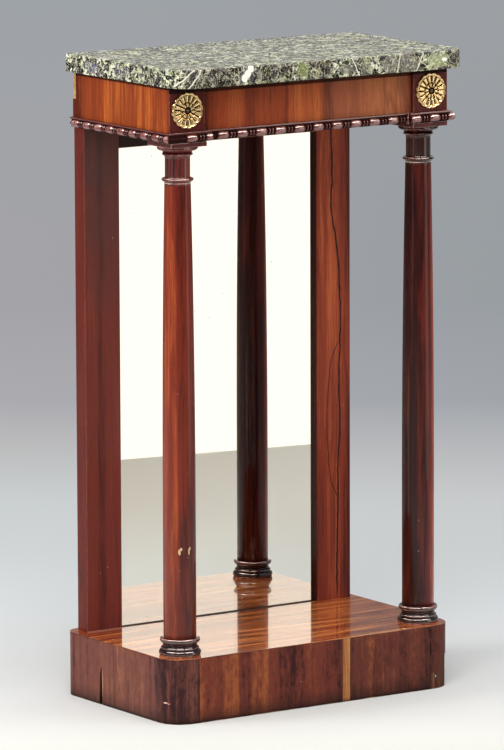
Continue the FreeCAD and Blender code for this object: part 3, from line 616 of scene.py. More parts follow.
class Effects:
    """The effects that several finishes share, each built once."""

    def __init__(self) -> None:
        """Build every effect."""
        self.grain = self.build_grain()
        # The pale arris effect shows rubbed wear, and painted highlights on the beads, bases and capitals.
        self.wear = self.build_wear_and_highlight()
        self.nick = self.build_nick()
        self.dust = self.build_dust()

    def build_grain(self) -> bpy.types.NodeTree:
        """Figured wood whose grain runs along the vector's Z.

        The tone adds broad bands, streaks and fibres, each a noise stretched along the
        grain. Black lines stand where another noise passes its middle value.

        Returns:
            The node group.
        """
        graph, entry, exits = effect(
            "wood figure",
            {"Vector": None, "Band": 45.0, "Drift": 0.0, "Contrast": 1.0, "Lines": 0.5,
             "Dark": tint(50, 22, 18), "Mid": tint(104, 46, 30), "Light": tint(160, 80, 44),
             "Line": tint(24, 12, 12)},
            {"Color": "Color", "Tone": "Float", "Height": "Float"})
        shift = graph.times(graph.minus(graph.noise(entry["Vector"], scale=(7.0, 7.0, 2.4)), 0.5), 0.03)
        bent = graph.vector("ADD", entry["Vector"], graph.add("CombineXYZ", shift, shift).outputs[0])

        def stretched(across: Feed, along: Feed, detail: float, rough: float = 0.5) -> Socket:
            """Noise whose units differ across the grain and along it."""
            units = graph.add("CombineXYZ", across, across, along).outputs[0]
            return graph.noise(graph.vector("MULTIPLY", bent, units), detail, rough)

        broad = stretched(entry["Band"], graph.times(entry["Band"], 0.06), 3.0, 0.55)
        streak = stretched(230.0, 6.0, 3.0, 0.65)
        fibre = stretched(800.0, 16.0, 2.0, 0.6)
        tone = graph.plus(graph.times(broad, 0.44), graph.times(streak, 0.36))
        tone = graph.minus(graph.plus(tone, graph.times(fibre, 0.2)), 0.5)
        tone = graph.times(tone, graph.times(entry["Contrast"], 2.6))
        tone = graph.plus(graph.plus(tone, 0.5), entry["Drift"])
        colour = graph.mix(graph.band(tone, 0.1, 0.5), entry["Dark"], entry["Mid"])
        colour = graph.mix(graph.band(tone, 0.5, 0.9), colour, entry["Light"])
        ridge = graph.maths("ABSOLUTE", graph.minus(stretched(30.0, 1.5, 2.0), 0.5))
        patch = graph.band(stretched(11.0, 1.6, 1.0), 0.46, 0.6)
        lines = graph.times(graph.band(ridge, 0.022, 0.004), patch)
        pores = graph.band(stretched(2100.0, 60.0, 1.0), 0.6, 0.68)
        black = graph.maths("MAXIMUM", graph.times(lines, entry["Lines"]), graph.times(pores, 0.3))
        height = graph.minus(graph.times(fibre, 0.5), graph.times(pores, 0.7))
        graph.fill(exits, Color=graph.mix(black, colour, entry["Line"]), Tone=tone, Height=height)
        return graph.tree

    def build_wear_and_highlight(self) -> bpy.types.NodeTree:
        """Pale arrises, for rubbed wear and for painted highlights: where the edge mask and a noise together
        pass a level.

        Returns:
            The node group.
        """
        graph, entry, exits = effect(
            "pale arris",
            {"Vector": None, "Color": tint(100, 50, 30), "Rough": 0.3, "Edge": 0.0, "Amount": 0.6,
             "Bare": tint(176, 120, 84)},
            {"Color": "Color", "Rough": "Float"})
        noise = graph.noise(entry["Vector"], 3.0, 0.6, 120.0)
        level = graph.plus(entry["Edge"], graph.minus(noise, 0.5))
        mask = graph.times(graph.band(level, 0.75, 1.1), entry["Amount"])
        graph.fill(exits, Color=graph.mix(mask, entry["Color"], entry["Bare"]),
                   Rough=graph.plus(entry["Rough"], graph.times(mask, 0.25)))
        return graph.tree

    def build_nick(self) -> bpy.types.NodeTree:
        """One placed mark: an ellipsoid round a point, its border roughened by noise.

        Returns:
            The node group.
        """
        graph, entry, exits = effect(
            "placed mark", {"Vector": None, "Centre": None, "Shrink": None, "Ragged": 0.5}, {"Mask": "Float"})
        away = graph.vector("MULTIPLY", graph.vector("SUBTRACT", entry["Vector"], entry["Centre"]),
                            entry["Shrink"])
        border = graph.times(graph.minus(graph.noise(entry["Vector"], scale=330.0), 0.5), entry["Ragged"])
        reach = graph.plus(graph.vector("LENGTH", away), border)
        graph.fill(exits, Mask=graph.band(reach, 1.05, 0.85))
        return graph.tree

    def build_dust(self) -> bpy.types.NodeTree:
        """Pale specks and a cloudy dulling of the polish.

        Returns:
            The node group.
        """
        graph, entry, exits = effect(
            "specks", {"Vector": None, "Color": tint(90, 50, 40), "Amount": 0.5,
                       "Speck": tint(190, 176, 164)},
            {"Color": "Color", "Dull": "Float"})
        cells = graph.cells(graph.scaled(entry["Vector"], (85.0, 85.0, 60.0)))
        near = graph.band(cells.outputs["Distance"], 0.1, 0.05)
        chosen = graph.band(graph.add("SeparateColor", cells.outputs["Color"]).outputs[0], 0.84, 0.9)
        mask = graph.times(graph.times(near, chosen), entry["Amount"])
        cloud = graph.noise(entry["Vector"], 4.0, 0.6, (26.0, 26.0, 18.0))
        graph.fill(exits, Color=graph.mix(mask, entry["Color"], entry["Speck"]),
                   Dull=graph.band(cloud, 0.35, 0.7))
        return graph.tree


# ---- finishes
@dataclass(frozen=True)
class Mark:
    """A placed mark on a finish.

    Args:
        centre: Its middle on the table.
        size: Its half widths along X, Y and Z.
        colour: Its colour.
        strength: How much of the colour shows.
        ragged: How uneven its border is.
    """

    centre: Point
    size: Point
    colour: Colour
    strength: float = 1.0
    ragged: float = 0.5


def shading(centre: Point, size: tuple[float, float], colour: Colour,
            *steps: tuple[float, float]) -> tuple[Mark, ...]:
    """A soft darkening towards a point: smooth marks, one for each step's half height and strength."""
    return tuple(Mark(centre, (*size, tall), colour, strength, 0.2) for tall, strength in steps)


def marked(graph: Graph, effects: Effects, place: Socket, colour: Socket, marks: tuple[Mark, ...]) -> Socket:
    """Lay marks over a colour.

    Args:
        graph: The material's graph.
        effects: The shared effects.
        place: The point's place.
        colour: The colour under the marks.
        marks: The marks.

    Returns:
        The colour.
    """
    for mark in marks:
        shrink = tuple(1 / width for width in mark.size)
        mask = graph.group(effects.nick, Vector=place, Centre=mark.centre, Ragged=mark.ragged, Shrink=shrink)
        colour = graph.mix(graph.times(mask["Mask"], mark.strength), colour, mark.colour)
    return colour


@dataclass(frozen=True)
class Vein:
    """A dark line that wanders up a piece.

    Args:
        path: Pairs of height and X, from the foot up.
        width: Its half width.
        strength: How dark it is.
    """

    path: Path
    width: float = 0.0012
    strength: float = 1.0

    def drawn(self, graph: Graph, place: Socket, axes: Outputs, colour: Socket) -> Socket:
        """Draw the line over a colour; noise makes it waver by up to 2 mm.

        Args:
            graph: The material's graph.
            place: The point's place.
            axes: The place's three coordinates.
            colour: The colour under the line.

        Returns:
            The colour.
        """
        share, line = graph.follow(axes[2], self.path)
        waver = graph.noise(place, scale=(90.0, 0.0, 60.0))
        line = graph.plus(line, graph.times(graph.minus(waver, 0.5), 0.004))
        gap = graph.maths("ABSOLUTE", graph.minus(axes[0], line))
        mask = graph.band(gap, self.width * 1.4, self.width * 0.5)
        inside = graph.times(graph.band(share, -0.01, 0.03), graph.band(share, 1.01, 0.97))
        return graph.mix(graph.times(graph.times(mask, inside), self.strength), colour, tint(20, 9, 9))


@dataclass(frozen=True)
class Drift:
    """How the wood's tone changes along one axis.

    Args:
        axis: The axis.
        path: Pairs of place and tone shift, from low to high.
    """

    axis: Axis
    path: Path


@dataclass(frozen=True)
class Wood:
    """Polished, figured wood.

    Args:
        name: The material's name.
        dark: Its darkest bands.
        mid: Its middle tone.
        light: Its lightest bands.
        grain: The axis along which the grain runs.
        band: How many broad bands there are in a metre.
        contrast: How strongly the tone varies.
        lines: How black its fine lines are.
        rough: The wood's own roughness.
        polish: The weight of the polish over it.
        polish_rough: The polish's roughness.
        gloss: The polish's index of refraction, higher for stronger glints.
        wear_and_painted_light: How much the arrises are rubbed; on the beads, bases and capitals this paints
            highlights.
        bare_and_highlight: The colour of a rubbed arris, and of the painted highlights.
        specks: How many pale specks there are.
        specular: The strength of the wood's own reflection.
        ripple: How deep the polish's ripples are.
        grime: How much its foot is darkened.
        slab_shadow: The height above which the slab's painted shadow darkens the wood, where there is one.
        mottle: How cloudy the tone is, across the grain as well as along it.
        drift: How the tone changes along an axis.
        marks: Placed marks.
        veins: Placed dark lines.
        shift: Moves the pattern, so that pieces differ.
    """

    name: str
    dark: Colour = tint(58, 24, 19)
    mid: Colour = tint(112, 50, 32)
    light: Colour = tint(164, 84, 46)
    grain: Axis = Axis.Z
    band: float = 45.0
    contrast: float = 1.0
    lines: float = 0.5
    rough: float = 0.38
    polish: float = 0.6
    polish_rough: float = 0.08
    gloss: float = 1.5
    wear_and_painted_light: float = 0.5
    bare_and_highlight: Colour = tint(170, 112, 78)
    specks: float = 0.3
    specular: float = 0.06
    ripple: float = 0.00003
    grime: float = 0.0
    slab_shadow: float | None = None
    mottle: float = 0.0
    drift: Drift | None = None
    marks: tuple[Mark, ...] = ()
    veins: tuple[Vein, ...] = ()
    shift: Point = (0.0, 0.0, 0.0)

    def build(self, effects: Effects) -> bpy.types.Material:
        """Make the material: figure, veins, marks and grime, then specks, rubbed arrises, painted highlights
        and painted shade.

        Args:
            effects: The shared effects.

        Returns:
            The material.
        """
        material, graph, shader = blank(self.name)
        place = graph.place()
        axes = graph.add("SeparateXYZ", place).outputs
        order = {Axis.Z: (0, 1, 2), Axis.X: (1, 2, 0), Axis.Y: (2, 0, 1)}[self.grain]
        along = graph.add("CombineXYZ", *(axes[source] for source in order)).outputs[0]
        vector = graph.vector("ADD", along, self.shift)
        figure = graph.group(
            effects.grain, Vector=vector, Band=self.band, Contrast=self.contrast, Lines=self.lines,
            Drift=self.drifted(graph, axes, vector), Dark=self.dark, Mid=self.mid, Light=self.light)
        colour = figure["Color"]
        for vein in self.veins:
            colour = vein.drawn(graph, place, axes, colour)
        colour = marked(graph, effects, place, colour, self.marks)
        if self.grime:
            smear = graph.noise(place, 4.0, 0.6, (70.0, 70.0, 22.0))
            height = graph.minus(axes[2], graph.times(smear, 0.03))
            dirty = graph.times(graph.band(height, 0.012, -0.014), self.grime)
            colour = graph.mix(dirty, colour, tint(44, 26, 22))
        specks = graph.group(effects.dust, Vector=place, Color=colour, Amount=self.specks)
        rough = graph.plus(self.rough, graph.times(specks["Dull"], 0.1))
        edge = graph.mask("wear_and_painted_light")
        # Pale arrises: rubbed wear, and painted highlights where a finish gives them a bright colour.
        pale_edges = graph.group(effects.wear, Vector=place, Color=specks["Color"], Rough=rough, Edge=edge,
                             Amount=self.wear_and_painted_light, Bare=self.bare_and_highlight)
        # Painted shade: edge marks below 0 (grooves, recesses, the plinth's foot) darken the colour towards
        # near black and thin the polish.
        sunk = graph.times(edge, -0.9, clamp=True)
        # Painted shadow of the slab's overhang: the wood turns dark above the given height.
        if self.slab_shadow is not None:
            slab_shadow = graph.band(axes[2], self.slab_shadow - 0.0008, self.slab_shadow + 0.0004)
            sunk = graph.maths("MAXIMUM", sunk, graph.times(slab_shadow, 0.85))
        bright = graph.minus(1.0, graph.times(sunk, 1.25, clamp=True))
        waver = graph.noise(place, 1.0, scale=(90.0, 90.0, 50.0))
        graph.fill(shader, Base_Color=graph.mix(sunk, pale_edges["Color"], tint(14, 6, 6)),
                   Roughness=pale_edges["Rough"], Specular_IOR_Level=self.specular,
                   Normal=graph.bump(figure["Height"], 0.00012),
                   Coat_Weight=graph.times(bright, self.polish), Coat_Roughness=self.polish_rough,
                   Coat_IOR=self.gloss, Coat_Normal=graph.bump(waver, self.ripple))
        return material

    def drifted(self, graph: Graph, axes: Outputs, vector: Socket) -> Feed:
        """The tone shift: the mottling's noise, and the drift's line along its axis.

        Args:
            graph: The material's graph.
            axes: The place's three coordinates.
            vector: The place with the grain along Z.

        Returns:
            The shift, a socket or a plain 0.
        """
        shift: Feed = 0.0
        if self.mottle:
            cloud = graph.noise(vector, 5.0, 0.75, (140.0, 140.0, 60.0))
            shift = graph.times(graph.minus(cloud, 0.5), self.mottle * 4)
        if self.drift is None:
            return shift
        return graph.plus(graph.follow(axes[self.drift.axis.value], self.drift.path)[1], shift)


def blank(name: str) -> tuple[bpy.types.Material, Graph, bpy.types.Node]:
    """A new material with only its shader and output.

    Args:
        name: The material's name.

    Returns:
        The material, its graph and its Principled shader.
    """
    material = bpy.data.materials.new(name)
    material.use_nodes = True
    return material, Graph(material.node_tree), material.node_tree.nodes["Principled BSDF"]


@dataclass(frozen=True)
class Marble:
    """Polished green breccia: dark stones in a pale sage ground, with white veins.

    Args:
        patches: Placed patches of another colour, which the flecks run over.
        whites: Placed clean patches.
        veins: Placed thin white veins, each a point and a direction across the vein.
        name: The material's name.
        flecks: Two kinds of flecks, each with its noise's place, its colour and its strength.
    """

    patches: tuple[Mark, ...]
    whites: tuple[Mark, ...]
    veins: tuple[tuple[Point, Point], ...]
    name: str = "green marble"
    flecks: tuple[tuple[Point, Colour, float], ...] = (
        ((3.0, 9.0, 1.0), tint(232, 230, 204), 0.55), ((8.0, 2.0, 6.0), tint(22, 20, 22), 0.6))

    def build(self, effects: Effects) -> bpy.types.Material:
        """Make the material.

        The place is first pushed about by noise. A value adds small cells, fine noise and
        broad zones, and turns from near black over green greys to cream. Two more noises
        turn parts of it plum or olive, and pale and dark flecks and a web of thin pale
        lines run over it.

        Args:
            effects: The shared effects.

        Returns:
            The material.
        """
        material, graph, shader = blank(self.name)
        place = graph.place()
        push = graph.fill(graph.add("TexNoise"), Vector=place, Scale=110.0, Detail=3.0).outputs["Color"]
        push = graph.scaled(graph.vector("SUBTRACT", push, (0.5, 0.5, 0.5)), 0.012)
        moved = graph.vector("ADD", place, push)
        chip = graph.add("SeparateColor", graph.cells(graph.scaled(moved, 215.0)).outputs["Color"]).outputs[0]
        fine = graph.noise(moved, 3.0, 0.65, 320.0)
        zone = graph.noise(place, scale=46.0)
        value = graph.plus(graph.times(chip, 0.8), graph.times(fine, 0.85))
        value = graph.plus(graph.minus(value, 0.5), graph.times(zone, 0.5))
        colour = graph.ramp(graph.minus(value, 0.215), (
            (0.0, (14, 14, 16)), (0.32, (32, 30, 32)), (0.43, (72, 72, 64)), (0.5, (122, 124, 100)),
            (0.59, (184, 188, 156)), (0.7, (228, 228, 202)), (1.0, (244, 244, 228))))
        plum = graph.band(graph.noise(place, scale=62.0), 0.5, 0.6)
        colour = graph.mix(graph.times(plum, 0.42), colour, tint(96, 84, 98))
        olive = graph.noise(graph.vector("ADD", graph.scaled(place, 54.0), (7.0, 3.0, 5.0)))
        colour = graph.mix(graph.times(graph.band(olive, 0.5, 0.62), 0.65), colour, tint(236, 240, 186),
                           "MULTIPLY")
        colour = marked(graph, effects, place, colour, self.patches)
        for seed, fleck, strength in self.flecks:
            small = graph.noise(graph.vector("ADD", graph.scaled(moved, 480.0), seed), 3.0, 0.65)
            colour = graph.mix(graph.times(graph.band(small, 0.56, 0.6), strength), colour, fleck)
        borders = graph.cells(graph.scaled(moved, 110.0), "DISTANCE_TO_EDGE").outputs["Distance"]
        some = graph.band(graph.noise(place, 1.0, scale=90.0), 0.48, 0.56)
        web = graph.times(graph.times(graph.band(borders, 0.05, 0.015), some), 0.8)
        colour = graph.mix(web, colour, tint(224, 220, 192))
        colour = marked(graph, effects, place, colour, self.whites)
        calm = graph.vector("ADD", graph.scaled(place, 0.75), graph.scaled(moved, 0.25))
        for at, across in self.veins:
            away = graph.vector("DOT_PRODUCT", graph.vector("SUBTRACT", calm, at), across)
            line = graph.band(graph.maths("ABSOLUTE", away), 0.0012, 0.0005)
            near = graph.band(graph.vector("LENGTH", graph.vector("SUBTRACT", place, at)), 0.026, 0.02)
            colour = graph.mix(graph.times(line, near), colour, tint(226, 224, 206))
        dull = graph.noise(place, 3.0, scale=60.0)
        graph.fill(shader, Base_Color=colour, Roughness=graph.times(dull, 0.5), Specular_IOR_Level=0.1,
                   Normal=graph.bump(dull, 0.0002))
        return material


@dataclass(frozen=True)
class Brass:
    """Gilt brass, bright on its ridges and brown in its hollows, partly patina and partly painted shade.

    Args:
        name: The material's name.
        bright: The colour of the ridges.
        brown: The colour of the hollows.
    """

    name: str = "gilt brass"
    bright: Colour = tint(232, 202, 148)
    brown: Colour = tint(66, 42, 20)

    def build(self, effects: Effects) -> bpy.types.Material:
        """Make the material: the piece's hollows and a noise mix the two colours.

        Args:
            effects: The shared effects, of which it needs none.

        Returns:
            The material.
        """
        material, graph, shader = blank(self.name)
        spots = graph.noise(graph.place(), 3.0, 0.6, 420.0)
        level = graph.plus(graph.mask("hollow"), graph.times(graph.minus(spots, 0.5), 0.8))
        mask = graph.band(level, 0.05, 0.75)
        graph.fill(shader, Base_Color=graph.mix(mask, self.bright, self.brown), Metallic=1.0,
                   Roughness=graph.plus(0.22, graph.times(mask, 0.3)), Normal=graph.bump(spots, 0.00008))
        return material


@dataclass(frozen=True)
class Silvering:
    """Old mirror glass with a few dark specks."""

    name: str = "old mirror"

    def build(self, effects: Effects) -> bpy.types.Material:
        """Make the material: bright metal, spotted where picked cells come near.

        Args:
            effects: The shared effects.

        Returns:
            The material.
        """
        material, graph, shader = blank(self.name)
        specks = graph.group(effects.dust, Vector=graph.place(), Color=tint(222, 222, 217), Amount=0.55,
                             Speck=tint(96, 92, 86))
        graph.fill(shader, Base_Color=specks["Color"], Metallic=1.0,
                   Roughness=graph.times(specks["Dull"], 0.02))
        return material


@dataclass(frozen=True)
class Steel:
    """A dull steel pin."""

    name: str = "steel pin"

    def build(self, effects: Effects) -> bpy.types.Material:
        """Make the material: brown and grey, mixed by noise.

        Args:
            effects: The shared effects, of which it needs none.

        Returns:
            The material.
        """
        material, graph, shader = blank(self.name)
        rust = graph.noise(graph.place(), 3.0, scale=600.0)
        graph.fill(shader, Base_Color=graph.mix(rust, tint(52, 40, 34), tint(120, 112, 104)), Metallic=0.8,
                   Roughness=graph.plus(0.25, graph.times(rust, 0.3)))
        return material


Finish = Wood | Marble | Brass | Silvering | Steel


# ---- pieces
@dataclass
class Workshop:
    """Makes objects of surfaces and gives them and the CAD nodes their finishes.

    Args:
        effects: The shared effects.
        finishes: The materials made so far, by name.
        made: How many pieces have been made.
    """

    effects: Effects
    finishes: dict[str, bpy.types.Material] = field(default_factory=dict)
    made: int = 0

    def finish(self, finish: Finish) -> bpy.types.Material:
        """The finish's material, made once.

        Args:
            finish: The finish.

        Returns:
            The material.
        """
        if finish.name not in self.finishes:
            self.finishes[finish.name] = finish.build(self.effects)
        return self.finishes[finish.name]

    def dress(self, node: str, finish: Finish) -> None:
        """Give a CAD node its finish.

        Args:
            node: The node's name.
            finish: The finish.
        """
        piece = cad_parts[node]
        material = self.finish(finish)
        if not piece.material_slots:
            piece.data.materials.append(material)
        for slot in piece.material_slots:
            slot.material = material
        log.info("dressed %s in %s", node, finish.name)

    def make(self, node: str, skin: Skin, finish: Finish,
             body: Body = Body.FRAME, hollow: Array | None = None, smooth: float = 40.0) -> None:
        """Make an object that stands for a CAD node.

        Args:
            node: The CAD node's name, which the object takes with a word of its own.
            skin: Its surface.
            finish: Its finish.
            body: The body that it rides on.
            hollow: How deep in a hollow each point lies, from 0 to 1.
            smooth: Edges sharper than this many degrees stay sharp.
        """
        name = f"{node}_finished"
        mesh = bpy.data.meshes.new(name)
        mesh.from_pydata(skin.points.tolist(), [], skin.faces)
        mesh.polygons.foreach_set("use_smooth", [len(face) < 5 for face in skin.faces])
        mesh.set_sharp_from_angle(angle=math.radians(smooth))
        values = {"wear_and_painted_light": skin.wear_and_painted_light, "hollow": np.zeros(len(skin.points)) if hollow is None else hollow}
        for label, value in values.items():
            layer = mesh.attributes.new(label, "FLOAT", "POINT")
            layer.data.foreach_set("value", value.astype(np.float32))
        mesh.materials.append(self.finish(finish))
        mesh.update()
        piece = bpy.data.objects.new(name, mesh)
        bpy.context.scene.collection.objects.link(piece)
        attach(piece, body.value)
        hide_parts(node)
        self.made += 1
        log.info("made %s: %d points, %d faces", name, len(skin.points), len(skin.faces))


@dataclass
class MarbleSlab:
    """The loose slab, rounded at its front corners, its edges not quite even.

    Args:
        corner: The front corners' radius.
        back_corner: The back corners' radius.
        arris: The radius of the eased edges.
        uneven: How far its faces wander.
    """

    corner: float = 0.036
    back_corner: float = 0.0024
    arris: float = 0.0012
    uneven: float = 0.00012

    def stone(self, front: float) -> Marble:
        """The slab's stone: dark and taupe stones, plum and olive ones, white patches and veins.

        Args:
            front: Where the front face stands.

        Returns:
            The finish.
        """
        dark, taupe, white = tint(44, 32, 26), tint(122, 118, 110), tint(244, 244, 234)
        stones = (
            (-0.19, 0.888, (0.052, 0.02, 0.02), dark, 0.5, 1.6),
            (-0.085, 0.888, (0.034, 0.008, 0.02), dark, 0.5, 1.6),
            (-0.01, 0.888, (0.018, 0.008, 0.02), dark, 0.5, 1.6),
            (-0.039, 0.89, (0.01, 0.008, 0.012), tint(148, 160, 96), 0.6, 1.6),
            (0.033, 0.886, (0.0125, 0.008, 0.0075), taupe, 0.65, 1.2),
            (0.064, 0.888, (0.011, 0.008, 0.0085), taupe, 0.6, 1.2),
            (0.106, 0.888, (0.016, 0.008, 0.012), taupe, 0.72, 1.0),
            (0.134, 0.888, (0.018, 0.008, 0.014), taupe, 0.68, 1.0),
            (0.186, 0.889, (0.021, 0.009, 0.0105), tint(168, 178, 130), 0.7, 1.4),
            (0.222, 0.89, (0.014, 0.02, 0.012), tint(66, 64, 62), 0.75, 1.2))
        clean = (
            (0.1973, 0.8887, (0.0052, 0.007, 0.0026), white, 1.0, 0.5),
            (-0.1345, 0.8845, (0.0052, 0.006, 0.0058), white, 1.0, 0.6),
            (-0.1292, 0.89, (0.0052, 0.006, 0.0055), white, 1.0, 0.6),
            (-0.1245, 0.8965, (0.0052, 0.006, 0.0055), white, 1.0, 0.6))
        patches, whites = (tuple(Mark((x, front, z), *rest) for x, z, *rest in rows)
                           for rows in (stones, clean))
        plum = (Mark((-0.24, 0.066, 0.887), (0.008, 0.016, 0.009), tint(90, 84, 112), 0.75, 1.6),
                Mark((-0.24, -0.01, 0.888), (0.008, 0.022, 0.008), tint(84, 78, 96), 0.5, 1.6))
        veins = (((-0.226, -0.148, 0.889), (0.7, 0.0, -0.7)), ((-0.2125, -0.15, 0.888), (0.81, 0.0, -0.585)),
                 ((0.12, front, 0.888), (0.98, 0.0, -0.2)), ((0.048, front, 0.888), (0.9, 0.0, 0.43)),
                 ((0.156, front, 0.888), (0.9, 0.0, -0.43)))
        return Marble(patches[:3] + plum + patches[3:], whites, veins)

    def build(self, shop: Workshop) -> None:
        """Make the slab.

        Args:
            shop: The workshop.
        """
        low, high = span("marble_top")
        outline = oblong(low, high, self.corner, self.back_corner, 14)
        skin = plate(outline, low[2], high[2], self.arris)
        middle = (low + high) / 2
        skin.points += np.sign(skin.points - middle) * waves(skin.points, 0.07, 0.4)[:, None] * self.uneven
        shop.make("marble_top", skin, self.stone(low[1]), Body.SLAB)


PINE = Wood("pine", dark=tint(138, 102, 66), mid=tint(176, 138, 96), light=tint(206, 172, 128), band=60.0,
            lines=0.1, rough=0.6, polish=0.0, wear_and_painted_light=0.2, bare_and_highlight=tint(214, 184, 144), specks=0.2)
PINE_ACROSS = replace(PINE, name="pine across", grain=Axis.X)
PINE_BACK = replace(PINE, name="pine along", grain=Axis.Y)
NAIL = tuple(Mark((0.2045, -0.1208, 0.018), (wide, 0.003, wide), colour)
             for wide, colour in ((0.003, tint(58, 46, 42)), (0.0014, tint(196, 180, 170))))
BARE_GROUND = Wood("bare ground", dark=tint(54, 32, 26), mid=tint(94, 58, 44), light=tint(130, 88, 64),
                   band=160.0, marks=NAIL, lines=0.3, rough=0.6, polish=0.0, wear_and_painted_light=0.0)
# The side board seen through the split is near black: painted shade inside the split.
SPLIT_SHADE = replace(BARE_GROUND, name="split board in painted shade", grain=Axis.Y, dark=tint(12, 7, 5),
                       mid=tint(22, 13, 9), light=tint(34, 20, 14))


@dataclass
class Carcass:
    """The softwood behind the veneers.

    Args:
        upright: The nodes whose grain stands upright.
        across: The nodes whose grain runs from side to side.
        along: The nodes whose grain runs from front to back.
    """

    upright: tuple[str, ...] = (
        "plinth_post_front_left", "plinth_post_back_left", "plinth_post_back_right",
        "frieze_corner_block_left", "frieze_corner_block_right", "mirror_backboard_left",
        "mirror_backboard_right", "mirror_back_fillet_left", "mirror_back_fillet_right")
    across: tuple[str, ...] = (
        "plinth_front_board", "plinth_back_board", "plinth_top_board", "plinth_glue_blocks",
        "frieze_front_rail", "frieze_back_rail", "frieze_soffit_board", "frieze_glue_blocks")
    along: tuple[str, ...] = ("plinth_side_board_right", "frieze_side_rail_left", "frieze_side_rail_right")

    def build(self, shop: Workshop) -> None:
        """Dress the carcass; the right front post shows where the veneer is lost, and the left side board,
        seen through the split, is painted near black as shade.

        Args:
            shop: The workshop.
        """
        for nodes, finish in ((self.upright, PINE), (self.across, PINE_ACROSS), (self.along, PINE_BACK)):
            for node in nodes:
                shop.dress(node, finish)
        shop.dress("plinth_post_front_right", BARE_GROUND)
        shop.dress("plinth_side_board_left", SPLIT_SHADE)


@dataclass
class FriezeVeneers:
    """The sheets of veneer round the frieze.

    Args:
        arris: The radius of the sheets' edges.
        loss_width: The width of the strip lost at the left side's back.
        loss_height: Its height.
        thickness: A return's thickness.
    """

    arris: float = 0.00025
    loss_width: float = 0.0075
    loss_height: float = 0.038
    thickness: float = 0.0012

    def side(self) -> Wood:
        """The warm veneer of the frieze's sides, redder towards the back."""
        return Wood(
            "frieze side", dark=tint(86, 32, 16), mid=tint(138, 60, 28), light=tint(182, 94, 42), band=70.0,
            contrast=0.95, lines=0.6, polish=0.08, wear_and_painted_light=0.15, slab_shadow=0.8704, mottle=0.06,
            drift=Drift(Axis.Y, ((-0.111, -0.25), (-0.09, 0.0), (-0.06, 0.14), (-0.02, 0.16), (0.03, 0.12),
                                 (0.06, 0.1), (0.075, -0.06), (0.1, -0.16), (0.13, -0.4))))

    def corner(self) -> Wood:
        """The dark plum veneer of the corner blocks."""
        return Wood("frieze block", dark=tint(50, 20, 22), mid=tint(84, 34, 32), light=tint(112, 52, 42),
                    contrast=0.7, polish=0.1, wear_and_painted_light=0.7, bare_and_highlight=tint(176, 120, 92), slab_shadow=0.8656)

    def front(self, part: str) -> Wood:
        """The veneer of one sheet of the front panel, brightest left of its middle.

        Args:
            part: Which sheet.

        Returns:
            Its finish.
        """
        sheet = Wood(
            f"frieze front {part}", dark=tint(94, 36, 22), mid=tint(150, 68, 38), light=tint(192, 104, 56),
            band=60.0, contrast=0.6, lines=0.3, polish=0.08, wear_and_painted_light=0.1, slab_shadow=0.8638, mottle=0.05,
            drift=Drift(Axis.X, ((-0.174, -0.4), (-0.15, -0.2), (-0.125, 0.08), (-0.11, 0.16), (-0.1, -0.14),
                                 (-0.08, -0.12), (-0.05, -0.05), (-0.033, -0.12), (-0.03, 0.1), (0.0, 0.2),
                                 (0.026, 0.14), (0.03, -0.2), (0.045, -0.02), (0.1, 0.18), (0.14, 0.26),
                                 (0.174, -0.25))))
        if part == "right":
            return replace(sheet, dark=tint(96, 44, 34), mid=tint(152, 84, 58), light=tint(184, 112, 72))
        return sheet

    def build(self, shop: Workshop) -> None:
        """Make the sheets.

        Args:
            shop: The workshop.
        """
        for part in ("left", "centre", "right"):
            node = f"frieze_panel_veneer_{part}"
            shop.make(node, block(*span(node), self.arris), self.front(part))
        returns = []
        for name, side in SIDES:
            node = f"block_face_veneer_{name}"
            shop.make(node, block(*span(node), self.arris), self.corner())
            inner = span(node)[side < 0][0]
            low, high = span("block_return_veneers")
            low[0], high[0] = sorted((inner, inner + side * self.thickness))
            returns.append(block(low, high, self.arris))
            node = f"frieze_side_veneer_{name}"
            low, high = span(node)
            notch = [(high[1] - self.loss_width, high[2], self.arris),
                     (high[1] - self.loss_width, high[2] - self.loss_height, self.arris),
                     (high[1], high[2] - self.loss_height, self.arris)]
            corner = [(high[1], high[2], self.arris)]
            outline = [(low[1], low[2], self.arris), (high[1], low[2], self.arris),
                       *(notch[::-1] if side < 0 else corner), (low[1], high[2], self.arris)]
            shop.make(node, plate(traced(outline), low[0], high[0], self.arris, Axis.X), self.side())
        shop.make("block_return_veneers", joined(returns), self.corner())


@dataclass
class BeadRun:
    """One straight run of bead and reel moulding.

    Args:
        node: The CAD node that it stands for.
        start: Where the run begins on its wall.
        turn: The run's direction, in degrees from +X.
        length: Its length along the wall.
        lead: The plain length before its first bead.
        pitch: From one bead to the next.
        mitres: Whether its start and its end turn an outer corner.
    """

    node: str
    start: tuple[float, float]
    turn: float
    length: float
    lead: float
    pitch: float
    mitres: tuple[bool, bool]


